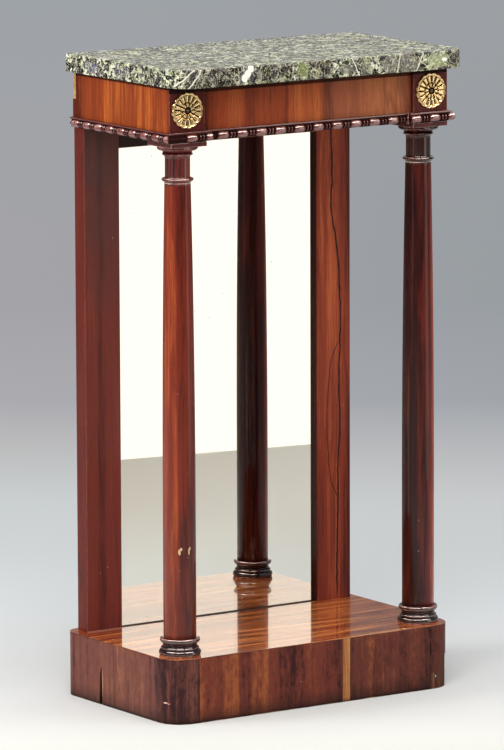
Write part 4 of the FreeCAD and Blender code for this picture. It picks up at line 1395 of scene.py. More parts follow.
@dataclass
class BeadMoulding:
    """The bead and reel moulding round the frieze's foot.

    Args:
        projection: How far it stands out from the wall.
        bead: The beads' radius.
        neck: The rod's radius between beads and reels.
        bead_length: A bead's length.
        reel: A reel's width.
        reel_rise: A reel's share of a bead's height over the neck.
        foot: From the moulding's foot to its beads.
        height: The moulding's height.
        strip: The projection of the flat behind the beads.
        fillet: The projection of the fillet over them.
        fillet_height: The fillet's height.
        arris: The radius of the flat's and the fillet's edges.
        wide: From one bead to the next along the front.
        narrow: The same along the sides.
    """

    projection: float = 0.0085
    bead: float = 0.0052
    neck: float = 0.0017
    bead_length: float = 0.0188
    reel: float = 0.0026
    reel_rise: float = 0.72
    foot: float = 0.0008
    height: float = 0.0145
    strip: float = 0.0026
    fillet: float = 0.0052
    fillet_height: float = 0.0022
    arris: float = 0.0005
    wide: float = 0.0313
    narrow: float = 0.0286

    def runs(self) -> list[BeadRun]:
        """The five runs, placed on the frieze's faces.

        Returns:
            The runs.
        """
        side = span("frieze_side_veneer_right")[1][0]
        back = span("frieze_back_rail")[1][1]
        front = span("block_face_veneer_left")[0][1]
        panel = span("frieze_panel_veneer_centre")[0][1]
        inner = span("bead_moulding_front")[1][0]
        edge, flank, wide, narrow = side - inner, back - front, self.wide, self.narrow
        return [
            BeadRun("bead_moulding_front", (-inner, panel), 0, inner * 2, 0.0141, wide, (False, False)),
            BeadRun("bead_moulding_block_left", (-side, front), 0, edge, 0.024, wide, (True, False)),
            BeadRun("bead_moulding_block_right", (inner, front), 0, edge, 0.0, wide, (False, True)),
            BeadRun("bead_moulding_side_left", (-side, back), -90, flank, 0.0054, narrow, (False, True)),
            BeadRun("bead_moulding_side_right", (side, front), 90, flank, 0.0054, narrow, (True, False))]

    def rod(self, run: BeadRun) -> Array:
        """The rod's stations and radii.

        Along a bead the radius rises from the neck by (1 - |2t - 1|^5)^0.6 of the
        difference, and along a reel by the square root of 1 - (2t - 1)^2.

        Args:
            run: The run.

        Returns:
            Rows of place along the run and radius.
        """
        share = (1 - np.cos(np.linspace(0, math.pi, 15))) / 2
        barrel = (1 - np.abs(2 * share - 1) ** 5) ** 0.6
        small = np.linspace(0, 1, 7)
        disc = np.sqrt(1 - (2 * small - 1) ** 2)
        gap = (run.pitch - self.bead_length - 2 * self.reel) / 3
        places = [share * self.bead_length]
        heights = [barrel]
        for reel in (self.bead_length + gap, run.pitch - gap - self.reel):
            places.append(reel + small * self.reel)
            heights.append(disc * self.reel_rise)
        place, height = np.concatenate(places), np.concatenate(heights)
        limit = run.length + (self.projection if run.mitres[1] else 0.0)
        count = int(limit / run.pitch) + 1
        place = (place[None] + (run.lead + np.arange(count) * run.pitch)[:, None]).ravel()
        height = np.tile(height, count)
        kept = place < limit - 0.0004
        start = -self.projection if run.mitres[0] else 0.0
        place = np.concatenate([[start], place[kept] + np.arange(kept.sum()) * 1e-6, [limit]])
        height = np.concatenate([[0.0], height[kept], [height[kept][-1]]])
        return np.stack([place, self.neck + (self.bead - self.neck) * height], axis=1)

    def carried(self, run: BeadRun, along: Array, out: Array, rise: Array, wear_and_painted_light: Array) -> Skin:
        """Set a run's sections on the table and cut its mitres.

        A mitre holds each point between the planes along = -out and along = length + out.

        Args:
            run: The run.
            along: Places along the run, stations by corners.
            out: Distances from the wall.
            rise: Heights over the moulding's foot.
            wear_and_painted_light: How much of an arris each corner is.

        Returns:
            The closed surface.
        """
        out = np.maximum(out, 0.0)
        lowest = -out if run.mitres[0] else np.zeros_like(out)
        highest = run.length + (out if run.mitres[1] else 0.0)
        along = np.clip(along, lowest, highest)
        angle = math.radians(run.turn)
        ahead = np.array([math.cos(angle), math.sin(angle)])
        aside = np.array([ahead[1], -ahead[0]])
        flat = np.array(run.start) + along[..., None] * ahead + out[..., None] * aside
        height = rise[..., None] + span(run.node)[0][2]
        return loft(np.concatenate([flat, height], axis=-1), wear_and_painted_light)

    def build_run(self, run: BeadRun) -> Skin:
        """One run: the flat, the fillet and the rod of beads.

        Args:
            run: The run.

        Returns:
            The closed surfaces.
        """
        parts = []
        for reach, low, high in ((self.strip, 0.0004, self.height),
                                 (self.fillet, self.height - self.fillet_height, self.height)):
            outline = oblong((0.0, low), (reach, high), self.arris, self.arris)
            corners = np.broadcast_to(outline.points, (2, *outline.points.shape))
            ends = np.array([[-1.0], [1.0]]) * (run.length + 1)
            along = np.broadcast_to(ends, corners.shape[:2])
            # Painted shade: the flat behind the beads is fully dark, the fillet a little.
            wear_and_painted_light = np.full(corners.shape[:2], -1.0 if low < 0.001 else -0.25)
            parts.append(self.carried(run, along, corners[..., 0], corners[..., 1], wear_and_painted_light))
        rod = self.rod(run)
        angles = np.linspace(0, 2 * math.pi, 24, endpoint=False)
        radius = rod[:, 1:] * (1 + 0.03 * waves(rod[:, 0], 0.025, 0.3)[:, None])
        out = self.projection - self.bead + radius * np.cos(angles)
        rise = self.foot + self.bead + radius * np.sin(angles)
        along = np.broadcast_to(rod[:, :1], out.shape)
        # Painted shade where the rod thins between beads and at the reels, and a painted highlight on each
        # bead's upper front.
        wear_and_painted_light = np.clip((radius / self.bead - 0.84) * 6, -1, 0) + 0 * angles
        wear_and_painted_light = np.maximum(wear_and_painted_light, np.where(radius > self.bead * 0.9, np.cos(angles - 0.6) - 0.1, -1.0))
        parts.append(self.carried(run, along, out, rise, wear_and_painted_light))
        return joined(parts)

    def build(self, shop: Workshop) -> None:
        """Make the runs and the two returns.

        Args:
            shop: The workshop.
        """
        # The pale arrises on the beads are painted highlights.
        finish = Wood("bead moulding", dark=tint(62, 26, 26), mid=tint(116, 54, 49), light=tint(158, 86, 78),
                      grain=Axis.X, contrast=0.6, lines=0.2, polish=1.0, polish_rough=0.09, gloss=2.0,
                      wear_and_painted_light=0.6, bare_and_highlight=tint(240, 204, 196))
        for run in self.runs():
            shop.make(run.node, self.build_run(run), finish, smooth=50)
        returns = []
        inner, outer = span("bead_moulding_front")[1][0], span("block_face_veneer_right")[0][0]
        for _, side in SIDES:
            low, high = span("bead_moulding_returns")
            low[0], high[0] = sorted((side * inner, side * outer))
            returns.append(block(low, high, 0.0006))
        shop.make("bead_moulding_returns", joined(returns), finish)


@dataclass
class Rosettes:
    """The pierced brass rosettes and their pins.

    Args:
        radius: A rosette's radius.
        depth: How far it stands out.
        petals: How many outer petals it has.
        inner: How many inner petals it has.
        well: The radius of the hollow round the pin.
        well_floor: How far a pin's head stands off the wall.
        pin: A pin's radius.
        pin_head: Its head's radius.
    """

    radius: float = 0.0247
    depth: float = 0.0034
    petals: int = 16
    inner: int = 10
    well: float = 0.0044
    well_floor: float = 0.0012
    pin: float = 0.0014
    pin_head: float = 0.003

    def flower(self, centre: Array, turn: float) -> tuple[Skin, Array]:
        """One rosette on a grid of rings and rays.

        The rim's radius and the height over the wall both follow the petals: u is the
        absolute sine of half the petal count times the angle, 0 in a crease and 1 at a
        petal's middle. Slots sink between the outer petals up to the rolled rim, the inner
        ring of lumps stands higher, and the well round the pin drops back.

        Args:
            centre: The rosette's middle on the wall.
            turn: Turns its petals, in radians.

        Returns:
            The surface, and how hollow each point lies.
        """
        rays, rings = 288, 52
        angle = np.linspace(0, 2 * math.pi, rays, endpoint=False)[None, :]
        share = np.linspace(0.04, 1, rings)[:, None]
        outer = np.abs(np.sin((angle + turn) * self.petals / 2))
        inner = np.abs(np.sin((angle - turn) * self.inner / 2))
        fade = np.clip((share - 0.44) / 0.06, 0, 1) * np.clip((0.88 - share) / 0.07, 0, 1)
        slot = np.clip((0.5 - outer) / 0.3, 0, 1) * fade
        small = np.clip((0.6 - inner) / 0.35, 0, 1) * np.clip((share - 0.2) / 0.05, 0, 1)
        step = np.clip((0.45 - share) / 0.04, 0, 1)
        gap = np.exp(-(((share - 0.455) / 0.022) ** 2)) * np.clip(1.2 - inner, 0, 1)
        roll = np.exp(-(((share - 0.93) / 0.05) ** 2))
        broad = 0.42 + 0.12 * share + 0.34 * np.sqrt(outer) * fade + 0.3 * roll - 0.3 * slot
        top = 0.62 + 0.38 * np.sqrt(inner) - 0.3 * small
        height = broad * (1 - step) + top * step - 0.25 * gap
        well = np.clip((share - self.well / self.radius) / 0.04, 0, 1)
        height = 0.1 + (height - 0.1) * well
        drop = np.clip((1 - share) / 0.03, 0, 1) ** 0.5
        height = np.clip(height * drop, 0, 1) * self.depth
        rim = 0.955 + 0.075 * outer ** 0.6
        radius = share * self.radius * (1 + (rim - 1) * share ** 3)
        front = np.stack([centre[0] + radius * np.cos(angle), centre[1] - height,
                          centre[2] + radius * np.sin(angle)], axis=-1)
        back = front[::-1].copy()
        back[..., 1] = centre[1]
        # Painted shade: the lower parts and the petals' sides count as hollow and turn brown, beside the
        # slots and the well.
        shade = 0.3 - 0.3 * np.clip((height / self.depth - 0.4) / 0.35, 0, 1)
        hollow = np.maximum(np.maximum(slot, small * step), np.maximum(gap, 1 - well))
        hollow = np.maximum(hollow, np.maximum(shade, (0.5 - 0.5 * np.sqrt(outer)) * fade))
        sections = np.concatenate([front, back])
        skin = loft(sections, np.zeros(sections.shape[:2]), True)
        return skin, np.concatenate([hollow, np.ones_like(hollow)]).ravel()

    def build(self, shop: Workshop) -> None:
        """Make both rosettes and the pins.

        Args:
            shop: The workshop.
        """
        pins = []
        tail = -span("rosette_pins")[1][1]
        for number, (name, _) in enumerate(SIDES):
            node = f"rosette_{name}"
            first, last = span(node)
            centre = np.array([(first[0] + last[0]) / 2, last[1], (first[2] + last[2]) / 2])
            skin, hollow = self.flower(centre, 0.1 + number * 0.7)
            shop.make(node, skin, Brass(), hollow=hollow, smooth=60)
            dome = arc((self.pin_head, 0.0), (0.0002, 0.0028), 0.2, 6)
            face = self.well_floor - centre[1]
            profile = np.concatenate([[(self.pin, tail), (self.pin, face)], dome + (0.0, face)])
            pin = turned(profile, (centre[0], centre[2]), 20, False)
            pin.points = pin.points[:, (0, 2, 1)] * (1, -1, 1)
            pins.append(pin.outward())
        shop.make("rosette_pins", joined(pins), Steel(), smooth=50)


@dataclass
class Columns:
    """The two turned columns.

    Args:
        bore: The radius of the holes for the shafts' tenons.
        tenon: The tenons' radius.
        straight: The height up to which a shaft is straight, over its foot.
        foot: A shaft's radius at its foot.
        head: Its radius at its head.
    """

    bore: float = 0.0091
    tenon: float = 0.009
    straight: float = 0.185
    foot: float = 0.0225
    head: float = 0.018

    def base(self) -> Array:
        """The base's section: torus, bead, cove and ring, over its foot."""
        return np.concatenate([
            [(self.bore, 0.0)], arc((0.0272, 0.0), (0.0276, 0.0078), 0.19), [(0.0262, 0.0082)],
            arc((0.0255, 0.0086), (0.0252, 0.0122), 0.22, 6), [(0.0238, 0.0126)],
            arc((0.0234, 0.013), (0.0262, 0.0188), -0.16, 8),
            arc((0.0264, 0.019), (0.0264, 0.0244), 0.2, 8), [(0.023, 0.0245), (self.bore, 0.0245)]])

    def capital(self) -> Array:
        """The capital's section: astragal, neck, collar and echinus, over its foot."""
        return np.concatenate([
            [(self.bore, 0.0), (self.head, 0.0)], arc((self.head, 0.003), (0.0196, 0.0054), -0.1, 4),
            arc((0.0203, 0.0056), (0.0203, 0.01), 0.38, 10), [(0.0184, 0.0102)],
            arc((0.0178, 0.0104), (0.0172, 0.013), -0.1, 4),
            arc((0.0172, 0.036), (0.0182, 0.0402), -0.08, 4),
            arc((0.0195, 0.0406), (0.0196, 0.0442), 0.4, 8), [(0.0192, 0.0446)],
            arc((0.0196, 0.0448), (0.0252, 0.048), -0.12, 6),
            arc((0.0258, 0.0482), (0.0256, 0.0534), 0.42, 10),
            [(0.022, 0.0535), (self.bore, 0.0535)]])

    def shaft(self, low: float, foot: float, head: float, high: float) -> Array:
        """The shaft's section with both tenons.

        Above its straight part the radius falls by the square of the share climbed.

        Args:
            low: The lower tenon's end.
            foot: The shaft's foot.
            head: The shaft's head.
            high: The upper tenon's end.

        Returns:
            Rows of radius and height.
        """
        share = np.linspace(0, 1, 40)
        start = foot + self.straight
        radius = self.foot - (self.foot - self.head) * share ** 2
        body = np.stack([radius, start + (head - start) * share], axis=1)
        return np.concatenate([[(self.tenon, low), (self.tenon, foot), (self.foot - 0.0004, foot),
                                (self.foot, foot + 0.0005)], body,
                               [(self.head - 0.0003, head), (self.tenon, head), (self.tenon, high)]])

    def wood(self, name: str) -> tuple[Wood, Wood, Wood, Wood]:
        """The finishes of a column's shaft, base, capital and abacus.

        Args:
            name: Which column.

        Returns:
            The four finishes.
        """
        if name == "left":
            low, high = span("column_shaft_left")
            x, y = ((low + high) / 2)[:2]
            chips = tuple(
                Mark((x + aside, y + out, z), size, tint(214, 176, 128)) for aside, out, z, size in (
                    (-0.0125, -0.0187, 0.2365, (0.0016, 0.0026, 0.0042)),
                    (-0.0105, -0.0198, 0.2405, (0.0016, 0.0026, 0.0022)),
                    (0.0005, -0.0225, 0.237, (0.0012, 0.0024, 0.005)),
                    (0.0022, -0.0224, 0.241, (0.0012, 0.0024, 0.0022))))
            # The drift across X paints light on the shaft's left side and right edge, and shade down its
            # middle.
            shaft = Wood(
                "left shaft", dark=tint(62, 20, 16), mid=tint(116, 40, 26), light=tint(166, 76, 40),
                band=80.0, contrast=0.75, polish=0.5, lines=0.3,
                drift=Drift(Axis.X, ((-0.2225, 0.14), (-0.2165, 0.18), (-0.2112, -0.1), (-0.195, -0.2),
                                     (-0.1814, -0.02), (-0.1775, 0.1))),
                marks=(*shading((x, y, 0.1), (0.06, 0.06), tint(70, 32, 30), (0.22, 0.16), (0.12, 0.22)),
                       *chips))
            neck, pale = tint(104, 36, 34), tint(150, 68, 58)
        else:
            # The drift across X paints shade on the shaft's left side and light on its right.
            shaft = Wood(
                "right shaft", dark=tint(40, 12, 12), mid=tint(96, 32, 26), light=tint(172, 66, 38),
                band=80.0, contrast=0.7, polish=0.5, lines=0.4, shift=(0.3, 0.1, 0.2),
                drift=Drift(Axis.X, ((0.178, -0.35), (0.19, -0.28), (0.202, -0.12), (0.212, 0.24),
                                     (0.223, 0.42))))
            # The right capital's darker neck colours are painted shade.
            neck, pale = tint(44, 13, 14), tint(104, 40, 34)
        # The pale arrises of the bases, capitals and abaci are painted highlights, and their grooves get
        # painted shade.
        base = replace(shaft, name=f"{name} base", polish=1.0, polish_rough=0.05, gloss=1.95, wear_and_painted_light=0.6,
                       bare_and_highlight=tint(208, 152, 138), marks=(), dark=tint(14, 5, 6), mid=tint(38, 13, 14),
                       light=tint(74, 28, 24), drift=None)
        capital = replace(base, name=f"{name} capital", dark=tint(34, 11, 12), mid=neck, light=pale,
                          contrast=1.0, polish=0.9, polish_rough=0.12, gloss=1.6, wear_and_painted_light=0.75,
                          bare_and_highlight=tint(232, 202, 186))
        abacus = replace(capital, name=f"{name} abacus", mid=tint(80, 42, 42), light=tint(112, 62, 58),
                         contrast=0.7, polish=0.12, polish_rough=0.1, gloss=1.5, wear_and_painted_light=0.3)
        return shaft, base, capital, abacus

    def build(self, shop: Workshop) -> None:
        """Make the columns.

        Args:
            shop: The workshop.
        """
        for name, _ in SIDES:
            body, foot, head, top = self.wood(name)
            low, high = span(f"column_shaft_{name}")
            centre = ((low[0] + high[0]) / 2, (low[1] + high[1]) / 2)
            base_foot, base_head = (corner[2] for corner in span(f"column_base_{name}"))
            cap_foot = span(f"column_capital_{name}")[0][2]
            shaft = turned(self.shaft(low[2], base_head, cap_foot, high[2]), centre, 96, False)
            base = turned(self.base() + (0.0, base_foot), centre, 96)
            capital = turned(self.capital() + (0.0, cap_foot), centre, 96)
            shop.make(f"column_shaft_{name}", shaft, body)
            shop.make(f"column_base_{name}", base, foot, smooth=60)
            shop.make(f"column_capital_{name}", capital, head, smooth=60)
            node = f"column_abacus_{name}"
            shop.make(node, block(*span(node), 0.0006), top)


@dataclass
class Pilasters:
    """The two pilasters with their veneered faces.

    Args:
        arris: The radius of their edges.
        inset: How far a tenon lies inside a pilaster's outer face.
        rebate: How far it lies inside its inner face.
        tenon: A tenon's thickness.
        behind: How far its middle lies in front of the back rail's back.
        left_tone: How the left face's tone changes from left to right.
        right_tone: The same for the right face.
        split: The split in the right face, as pairs of height and X.
        branch: The finer split that leaves it.
    """

    arris: float = 0.0007
    inset: float = 0.012
    rebate: float = 0.007
    tenon: float = 0.008
    behind: float = 0.01
    left_tone: Path = ((-0.2227, 0.1), (-0.214, 0.05), (-0.205, -0.05), (-0.199, -0.18), (-0.193, -0.12),
                       (-0.185, 0.02), (-0.166, 0.05))
    right_tone: Path = ((0.166, -0.1), (0.175, 0.05), (0.187, 0.14), (0.2, 0.1), (0.208, -0.02),
                        (0.214, -0.2), (0.2227, -0.42))
    split: Path = ((0.09, 0.1998), (0.154, 0.1999), (0.234, 0.2018), (0.292, 0.2019), (0.349, 0.2054),
                   (0.407, 0.2038), (0.457, 0.2056), (0.507, 0.2057), (0.558, 0.204), (0.608, 0.1989),
                   (0.644, 0.1921), (0.666, 0.1904), (0.694, 0.1922), (0.758, 0.1906), (0.8, 0.1902))
    branch: Path = ((0.238, 0.2018), (0.252, 0.1949), (0.2715, 0.188), (0.308, 0.1846), (0.351, 0.1829),
                    (0.394, 0.1847), (0.4256, 0.1883), (0.448, 0.1952), (0.4644, 0.2039))

    def faces(self) -> dict[str, Wood]:
        """The veneers of the two faces.

        Returns:
            The two finishes, by side.
        """
        low = span("pilaster_veneer_left")[0]
        # A painted highlight along the foot of the left face.
        pale_edges = Mark((-0.203, low[1], low[2] + 0.0004), (0.09, 0.004, 0.0009), tint(200, 150, 128), 0.7, 0.6)
        shade = shading((-0.195, low[1], 0.83), (0.12, 0.1), tint(66, 54, 54), (0.3, 0.22), (0.21, 0.25),
                        (0.12, 0.3))
        left = Wood("left pilaster face", dark=tint(64, 26, 22), mid=tint(108, 46, 38),
                    light=tint(130, 62, 48), band=70.0, contrast=0.5, lines=0.35, polish=0.12, wear_and_painted_light=0.25,
                    bare_and_highlight=tint(150, 92, 76), marks=(*shade, pale_edges),
                    drift=Drift(Axis.X, self.left_tone))
        right = Wood("right pilaster face", dark=tint(70, 25, 19), mid=tint(134, 54, 33),
                     light=tint(184, 92, 54), band=60.0, contrast=0.85, lines=0.5, polish=0.12, wear_and_painted_light=0.15,
                     bare_and_highlight=tint(150, 90, 62),
                     marks=shading((0.195, low[1], 0.09), (0.12, 0.1), tint(70, 26, 22), (0.36, 0.12),
                                   (0.27, 0.12), (0.16, 0.1)),
                     drift=Drift(Axis.X, self.right_tone),
                     veins=(Vein(self.split, 0.0014), Vein(self.branch, 0.0009, 0.85)))
        return {"left": left, "right": right}

    def build(self, shop: Workshop) -> None:
        """Make both pilasters.

        Args:
            shop: The workshop.
        """
        stile = Wood("pilaster side", dark=tint(56, 20, 17), mid=tint(96, 36, 28), light=tint(124, 52, 38),
                     band=90.0, contrast=0.5, lines=0.3, polish=0.2, wear_and_painted_light=0.2)
        shaded = replace(stile, name="inner side", drift=Drift(Axis.X, (
            (0.166, -0.95), (0.1695, -0.9), (0.173, 0.0), (0.19, 0.0), (0.2227, 0.0))))
        stiles = {"left": stile, "right": shaded}
        faces = self.faces()
        for name, side in SIDES:
            node = f"pilaster_veneer_{name}"
            low, high = span(node)
            shop.make(node, block(low, high, self.arris / 2), faces[name])
            whole_low, whole_high = span(f"pilaster_{name}")
            core = block((low[0], whole_low[1], low[2]), (high[0], whole_high[1], high[2]), self.arris)
            outer, inner = sorted((low[0], high[0]), key=abs, reverse=True)
            across = sorted((outer - side * self.inset, inner + side * self.rebate))
            middle = span("frieze_back_rail")[1][1] - self.behind
            tenon = block((across[0], middle - self.tenon / 2, whole_low[2]),
                          (across[1], middle + self.tenon / 2, whole_high[2]), self.arris)
            shop.make(f"pilaster_{name}", joined([core, tenon]), stiles[name])


@dataclass
class Mirror:
    """The mirror glass, the rail over it and the slip under it.

    Args:
        slip: The slip's worn height.
        gap: From the slip to the glass.
        tongue: How far the rail's tongues lie inside its height.
        arris: The radius of the rail's edges.
    """

    slip: float = 0.0004
    gap: float = 0.0001
    tongue: float = 0.007
    arris: float = 0.0008

    def build(self, shop: Workshop) -> None:
        """Make the rail, the slip and the glass.

        Args:
            shop: The workshop.
        """
        # The rail and the slip are near black: painted shade under the frieze and in the gap over the plinth.
        dark = Wood("rail in painted shade", dark=tint(22, 10, 9), mid=tint(42, 19, 15), light=tint(70, 31, 22),
                    grain=Axis.X, polish=0.1)
        low, high = span("mirror_top_rail")
        inner = span("pilaster_veneer_right")[0][0]
        front, back = (corner[1] for corner in span("mirror_backboard_right"))
        rail = block((-inner, low[1], low[2]), (inner, back, high[2]), self.arris)
        tongues = block((low[0], front, low[2] + self.tongue), (high[0], back, high[2] - self.tongue),
                        self.arris)
        shop.make("mirror_top_rail", joined([rail, tongues]), dark)
        first, last = span("mirror_bottom_slip")
        last[2] = first[2] + self.slip
        shop.make("mirror_bottom_slip", block(first, last, 0.0001), dark)
        low, high = span("mirror_glass")
        low[2] = last[2] + self.gap
        shop.make("mirror_glass", block(low, high, 0.0004), Silvering())


@dataclass
class Plinth:
    """The veneers of the plinth.

    Args:
        corner: The front corners' radius.
        back_corner: The back corners' radius.
        lift: How far the skirt's worn foot stands over the floor.
        thickness: The veneers' thickness.
        seam: Where the left sheet meets the front one.
        strip: Where the pale strip begins and ends.
        crack: Pairs of height and half width of the split in the left side.
        crack_at: Where the split's front edge stands.
        loss: Where the right foot's loss begins, and its height.
        tall_loss: Where its taller part begins, and its height.
        loss_back: Where it ends along the side.
        back_gap: How far the side sheets stop short of the outline's ends.
        wear: How deep the skirt's foot is worn at most.
        ragged: How far the loss's upper border wanders.
        jagged: How far its ends wander.
        foot_shade_and_top_line: How dark the skirt's two lowest rows are, a painted shadow where it meets the
            floor, and its two highest rows, a dark line under the top.
        left_tone: How the left side's tone changes from front to back.
        front_tone: How the front's tone changes from left to right.
        right_tone: The same for the right sheet.
    """

    corner: float = 0.035
    back_corner: float = 0.02
    lift: float = 0.0005
    thickness: float = 0.0012
    seam: float = -0.194
    strip: tuple[float, float] = (0.0457, 0.0575)
    crack: Path = ((0.0, 0.0072), (0.02, 0.0064), (0.036, 0.006), (0.047, 0.0056), (0.0505, 0.004),
                   (0.0525, 0.0))
    crack_at: float = 0.0546
    loss: tuple[float, float] = (0.1954, 0.024)
    tall_loss: tuple[float, float] = (0.217, 0.046)
    loss_back: float = -0.087
    back_gap: float = 0.004
    wear: float = 0.0009
    ragged: float = 0.0018
    jagged: float = 0.0014
    foot_shade_and_top_line: tuple[float, ...] = (-0.9, -0.7, 0.0, -0.8)
    left_tone: Path = ((-0.122, -0.12), (-0.114, -0.28), (-0.1, -0.3), (-0.085, -0.2), (-0.06, -0.04),
                       (-0.03, 0.05), (0.0, 0.1), (0.05, 0.08), (0.1, -0.02), (0.1505, -0.1))
    front_tone: Path = ((-0.194, 0.16), (-0.175, 0.1), (-0.16, -0.02), (-0.145, 0.25), (-0.13, 0.2),
                        (-0.122, -0.15), (-0.11, -0.08), (-0.095, 0.2), (-0.07, 0.02), (-0.05, -0.2),
                        (-0.02, -0.1), (0.0, 0.04), (0.02, -0.12), (0.046, -0.02))
    right_tone: Path = ((0.05, -0.2), (0.07, -0.05), (0.09, 0.08), (0.11, 0.0), (0.13, 0.06), (0.15, -0.1),
                        (0.165, 0.02), (0.19, -0.2), (0.22, -0.05), (0.238, -0.25))

    def plan(self) -> Outline:
        """The plinth's outline, run from its back left corner over the front."""
        low, high = span("plinth_top_veneer")
        return traced([(low[0], high[1], self.back_corner), (low[0], low[1], self.corner),
                       (high[0], low[1], self.corner), (high[0], high[1], self.back_corner)], 12)

    def measured(self) -> tuple[Outline, Array]:
        """The outline, and how far along it each of its points lies.

        Returns:
            The outline and the distances.
        """
        plan = self.plan()
        steps = np.linalg.norm(np.diff(plan.points, axis=0), axis=1)
        return plan, np.concatenate([[0.0], np.cumsum(steps)])

    def sheet(self, start: Array, end: Array, foot: Array, levels: Array, stations: int) -> Skin:
        """A sheet of veneer that follows the plinth's outline.

        At station share t the outer face stands at start + (end - start) t along the
        outline for each level, and the inner face at the veneer's thickness behind it.

        Args:
            start: Where the sheet begins along the outline, for each level.
            end: Where it ends, for each level.
            foot: How far the foot is raised at each station.
            levels: The heights.
            stations: How many stations the sheet has.

        Returns:
            The closed surface.
        """
        plan, along = self.measured()
        share = np.linspace(0, 1, stations)[:, None]
        place = start[None] + (end - start)[None] * share
        outer = np.stack([np.interp(place, along, plan.points[:, axis]) for axis in (0, 1)], axis=-1)
        normal = np.stack([np.interp(place, along, plan.normals[:, axis]) for axis in (0, 1)], axis=-1)
        normal /= np.linalg.norm(normal, axis=-1, keepdims=True)
        top = levels[-1]
        # the rows that the worn foot reaches are packed just over it, in their order
        height = np.maximum(levels[None], foot[:, None] + (top - foot[:, None]) * (levels / top)[None] * 0.02)
        height = np.where(levels[None] >= top, top, height)
        inset = np.zeros(len(levels))
        inset[[0, -1]] = 0.0003
        face = np.concatenate([outer - normal * inset[None, :, None], height[..., None]], axis=-1)
        inner = np.concatenate([outer - normal * self.thickness, height[..., None]], axis=-1)[:, ::-1]
        edge = np.zeros((stations, len(levels)))
        # The two lowest rows get a painted shadow at the floor, the two highest a dark line under the top.
        edge[:, [0, 1, -2, -1]] = self.foot_shade_and_top_line
        sections = np.concatenate([face, inner], axis=1)
        return loft(sections, np.concatenate([edge, edge * 0.0], axis=1))

    def reach(self, x: float | None = None, y: float | None = None, side: int = -1) -> float:
        """How far along the outline a place on its front or on one side lies.

        Args:
            x: The place's X on the front.
            y: Or its Y on a side.
            side: Which side.

        Returns:
            The distance along the outline.
        """
        plan, along = self.measured()
        if x is not None:
            front = plan.points[:, 1] < 0
            return float(np.interp(x, plan.points[front, 0], along[front]))
        flank = np.sign(plan.points[:, 0]) == side
        order = np.argsort(plan.points[flank, 1], kind="stable")
        return float(np.interp(y, plan.points[flank, 1][order], along[flank][order]))

    def skirt(self, shop: Workshop) -> None:
        """Make the four sheets round the plinth.

        Args:
            shop: The workshop.
        """
        top = span("plinth_top_veneer")[0][2]
        levels = np.concatenate([[self.lift, 0.0011], np.linspace(0.006, top - 0.006, 9),
                                 [top - 0.0005, top]])
        even = np.ones(len(levels))
        total = float(self.measured()[1][-1])
        seam, strip = self.reach(self.seam), [self.reach(x) for x in self.strip]
        heights, widths = np.array(self.crack).T
        gap = np.interp(levels, heights, widths)
        crack = self.reach(y=self.crack_at)
        first = self.sheet(self.back_gap * even, crack - gap, self.worn_foot(70, 0.2), levels, 70)
        second = self.sheet(crack * even, seam * even, self.worn_foot(90, 0.5), levels, 90)
        left, front, right = self.woods()
        shop.make("plinth_veneer_left", joined([first, second]), left)
        sheet = self.sheet(seam * even, strip[0] * even, self.worn_foot(80, 0.7), levels, 80)
        shop.make("plinth_veneer_front", sheet, front)
        filler = Wood("pale strip", dark=tint(112, 66, 38), mid=tint(172, 112, 66), light=tint(206, 146, 92),
                      band=120.0, lines=0.2, polish=0.1)
        sheet = self.sheet(strip[0] * even, strip[1] * even, self.worn_foot(6, 0.1), levels, 6)
        shop.make("plinth_filler_strip", sheet, filler)
        ends = [strip[1], self.reach(self.loss[0]), self.reach(self.tall_loss[0]),
                self.reach(y=self.loss_back, side=1), total - self.back_gap]
        counts = (50, 10, 12, 60)
        parts = []
        wobble = waves(levels, 0.012, 0.6) * self.jagged
        borders = [start * even + wobble * (1 <= number <= 2) for number, start in enumerate(ends)]
        rises = (0.0, self.loss[1], self.tall_loss[1], 0.0)
        for start, end, count, rise in zip(borders, borders[1:], counts, rises):
            ragged = waves(np.arange(count) * 0.002, 0.009, 0.7) * (self.ragged if rise else 0.0)
            foot = self.worn_foot(count, float(start[0])) + rise + ragged
            parts.append(self.sheet(start, end, foot, levels, count))
        shop.make("plinth_veneer_right", joined(parts), right)

    def worn_foot(self, count: int, seed: float) -> Array:
        """How high each station's foot stands: worn away here and there."""
        return self.lift + np.clip(waves(np.arange(count) * 0.004, 0.03, seed), 0, 1) * self.wear

    def woods(self) -> tuple[Wood, Wood, Wood]:
        """The veneers of the plinth's left side, of its front and of its right side.

        Returns:
            The three finishes.
        """
        low = span("plinth_top_veneer")[0]
        seam = Mark((self.seam, low[1], 0.045), (0.0011, 0.01, 0.06), tint(18, 9, 9), 0.95, 0.3)
